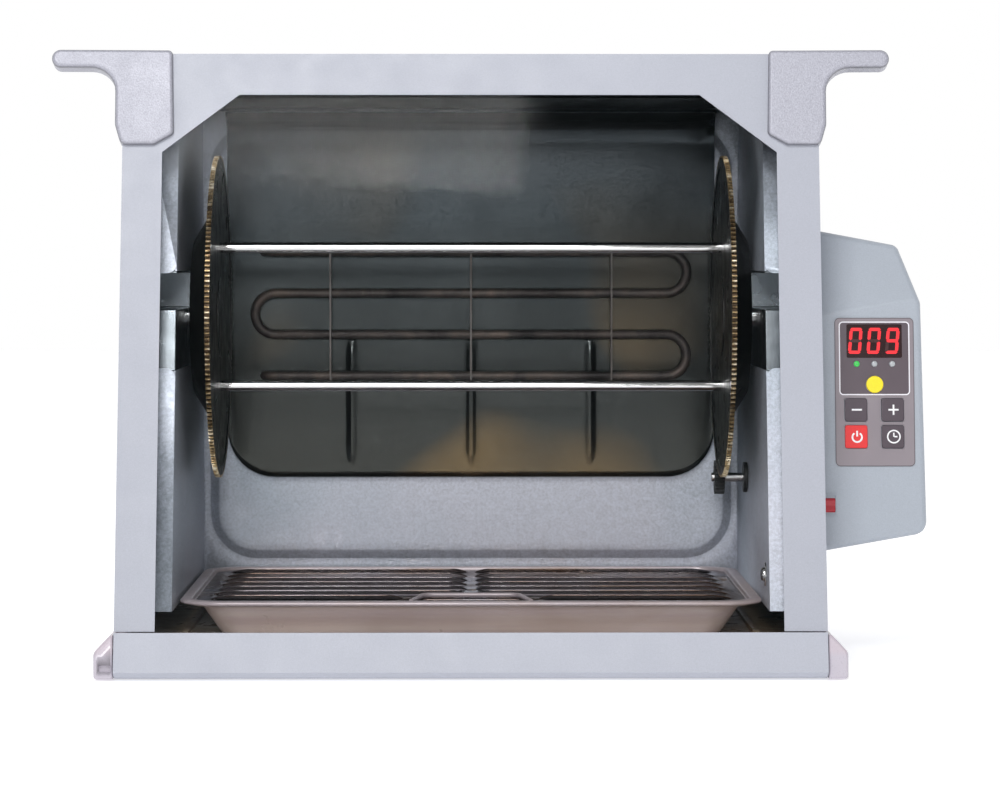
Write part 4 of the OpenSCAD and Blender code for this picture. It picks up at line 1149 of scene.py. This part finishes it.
def make_key_signs():
    """Plain symbols in place of lettering: minus, plus, standby and a clock."""
    left, right = PANEL_CX - KEY_DX, PANEL_CX + KEY_DX
    stroke = 1.1
    minus = key_sign(rect(left, KEY_UPPER_V, 6.4, stroke))
    plus = key_sign(rect(right, KEY_UPPER_V, 6.4, stroke),
                    *(rect(right, KEY_UPPER_V + up, stroke, 2.7) for up in (1.9, -1.9)))
    standby = joined(ring_arc(left, KEY_LOWER_V - 0.4, 3.0, stroke, -235, 55),
                     key_sign(rect(left, KEY_LOWER_V + 1.9, stroke, 3.6)))
    clock = joined(ring_arc(right, KEY_LOWER_V, 3.9, 0.9, 0, 360, 40),
                   key_sign(rect(right, KEY_LOWER_V + 1.2, 0.9, 2.6), rect(right + 1.3, KEY_LOWER_V, 1.9, 0.9)))
    for name, sign, key in (("minus", minus, "minus"), ("plus", plus, "plus"), ("standby", standby, "off"),
                            ("clock", clock, "hours")):
        make_piece(name + "_sign", sign, "key_red" if key == "off" else "key_grey", key + "_key", "sign_white",
                   base=PANEL)


make_digits()
make_lamps()
make_key_signs()

# ---- studio

FLOOR_SIZE = 14.0


def make_floor():
    p = Paint("studio_floor", Roughness=0.7, Emission_Color=srgb(255, 255, 255), Emission_Strength=0.42)
    tone = p.between(p.noise(2.5, 3), srgb(246, 246, 247), srgb(250, 250, 250))
    mesh = bpy.data.meshes.new("floor")
    mesh.from_pydata([(x, y, 0) for x, y in rect(0, 0, FLOOR_SIZE, FLOOR_SIZE)], [], [(0, 1, 2, 3)])
    p.done(tone)
    mesh.materials.append(p.material)
    added("floor", mesh)


WORLD_FRONT, WORLD_BACK = 0.22, 1.0
LIGHT_TARGET = (0.0, 0.0, 0.2)


def make_world():
    """White behind the object, dim in front of it, so that the polished parts have something dark to show."""
    world = bpy.data.worlds.new("studio")
    bpy.context.scene.world = world
    n = Nodes(world, "Generated")
    _, y, _ = n.split(n.coords)
    grey = n.ramp(n.math("MULTIPLY_ADD", y, 0.5, 0.5), (0.35, WORLD_FRONT), (0.65, WORLD_BACK))
    n.link(grey, n.tree.nodes["Background"].inputs["Color"])


def area_light(name, location, size, power):
    data = bpy.data.lights.new(name, "AREA")
    data.shape = "RECTANGLE"
    data.size, data.size_y = size
    data.energy = power
    light = added(name, data)
    light.location = location
    aim = Vector(LIGHT_TARGET) - Vector(location)
    light.rotation_euler = aim.to_track_quat("-Z", "Y").to_euler()


make_floor()
make_world()
area_light("key", (-0.35, -2.3, 1.9), (0.9, 0.9), 40)
area_light("fill", (-0.15, -2.8, 0.76), (0.7, 0.3), 15)
bpy.context.scene.view_settings.view_transform = "Standard"
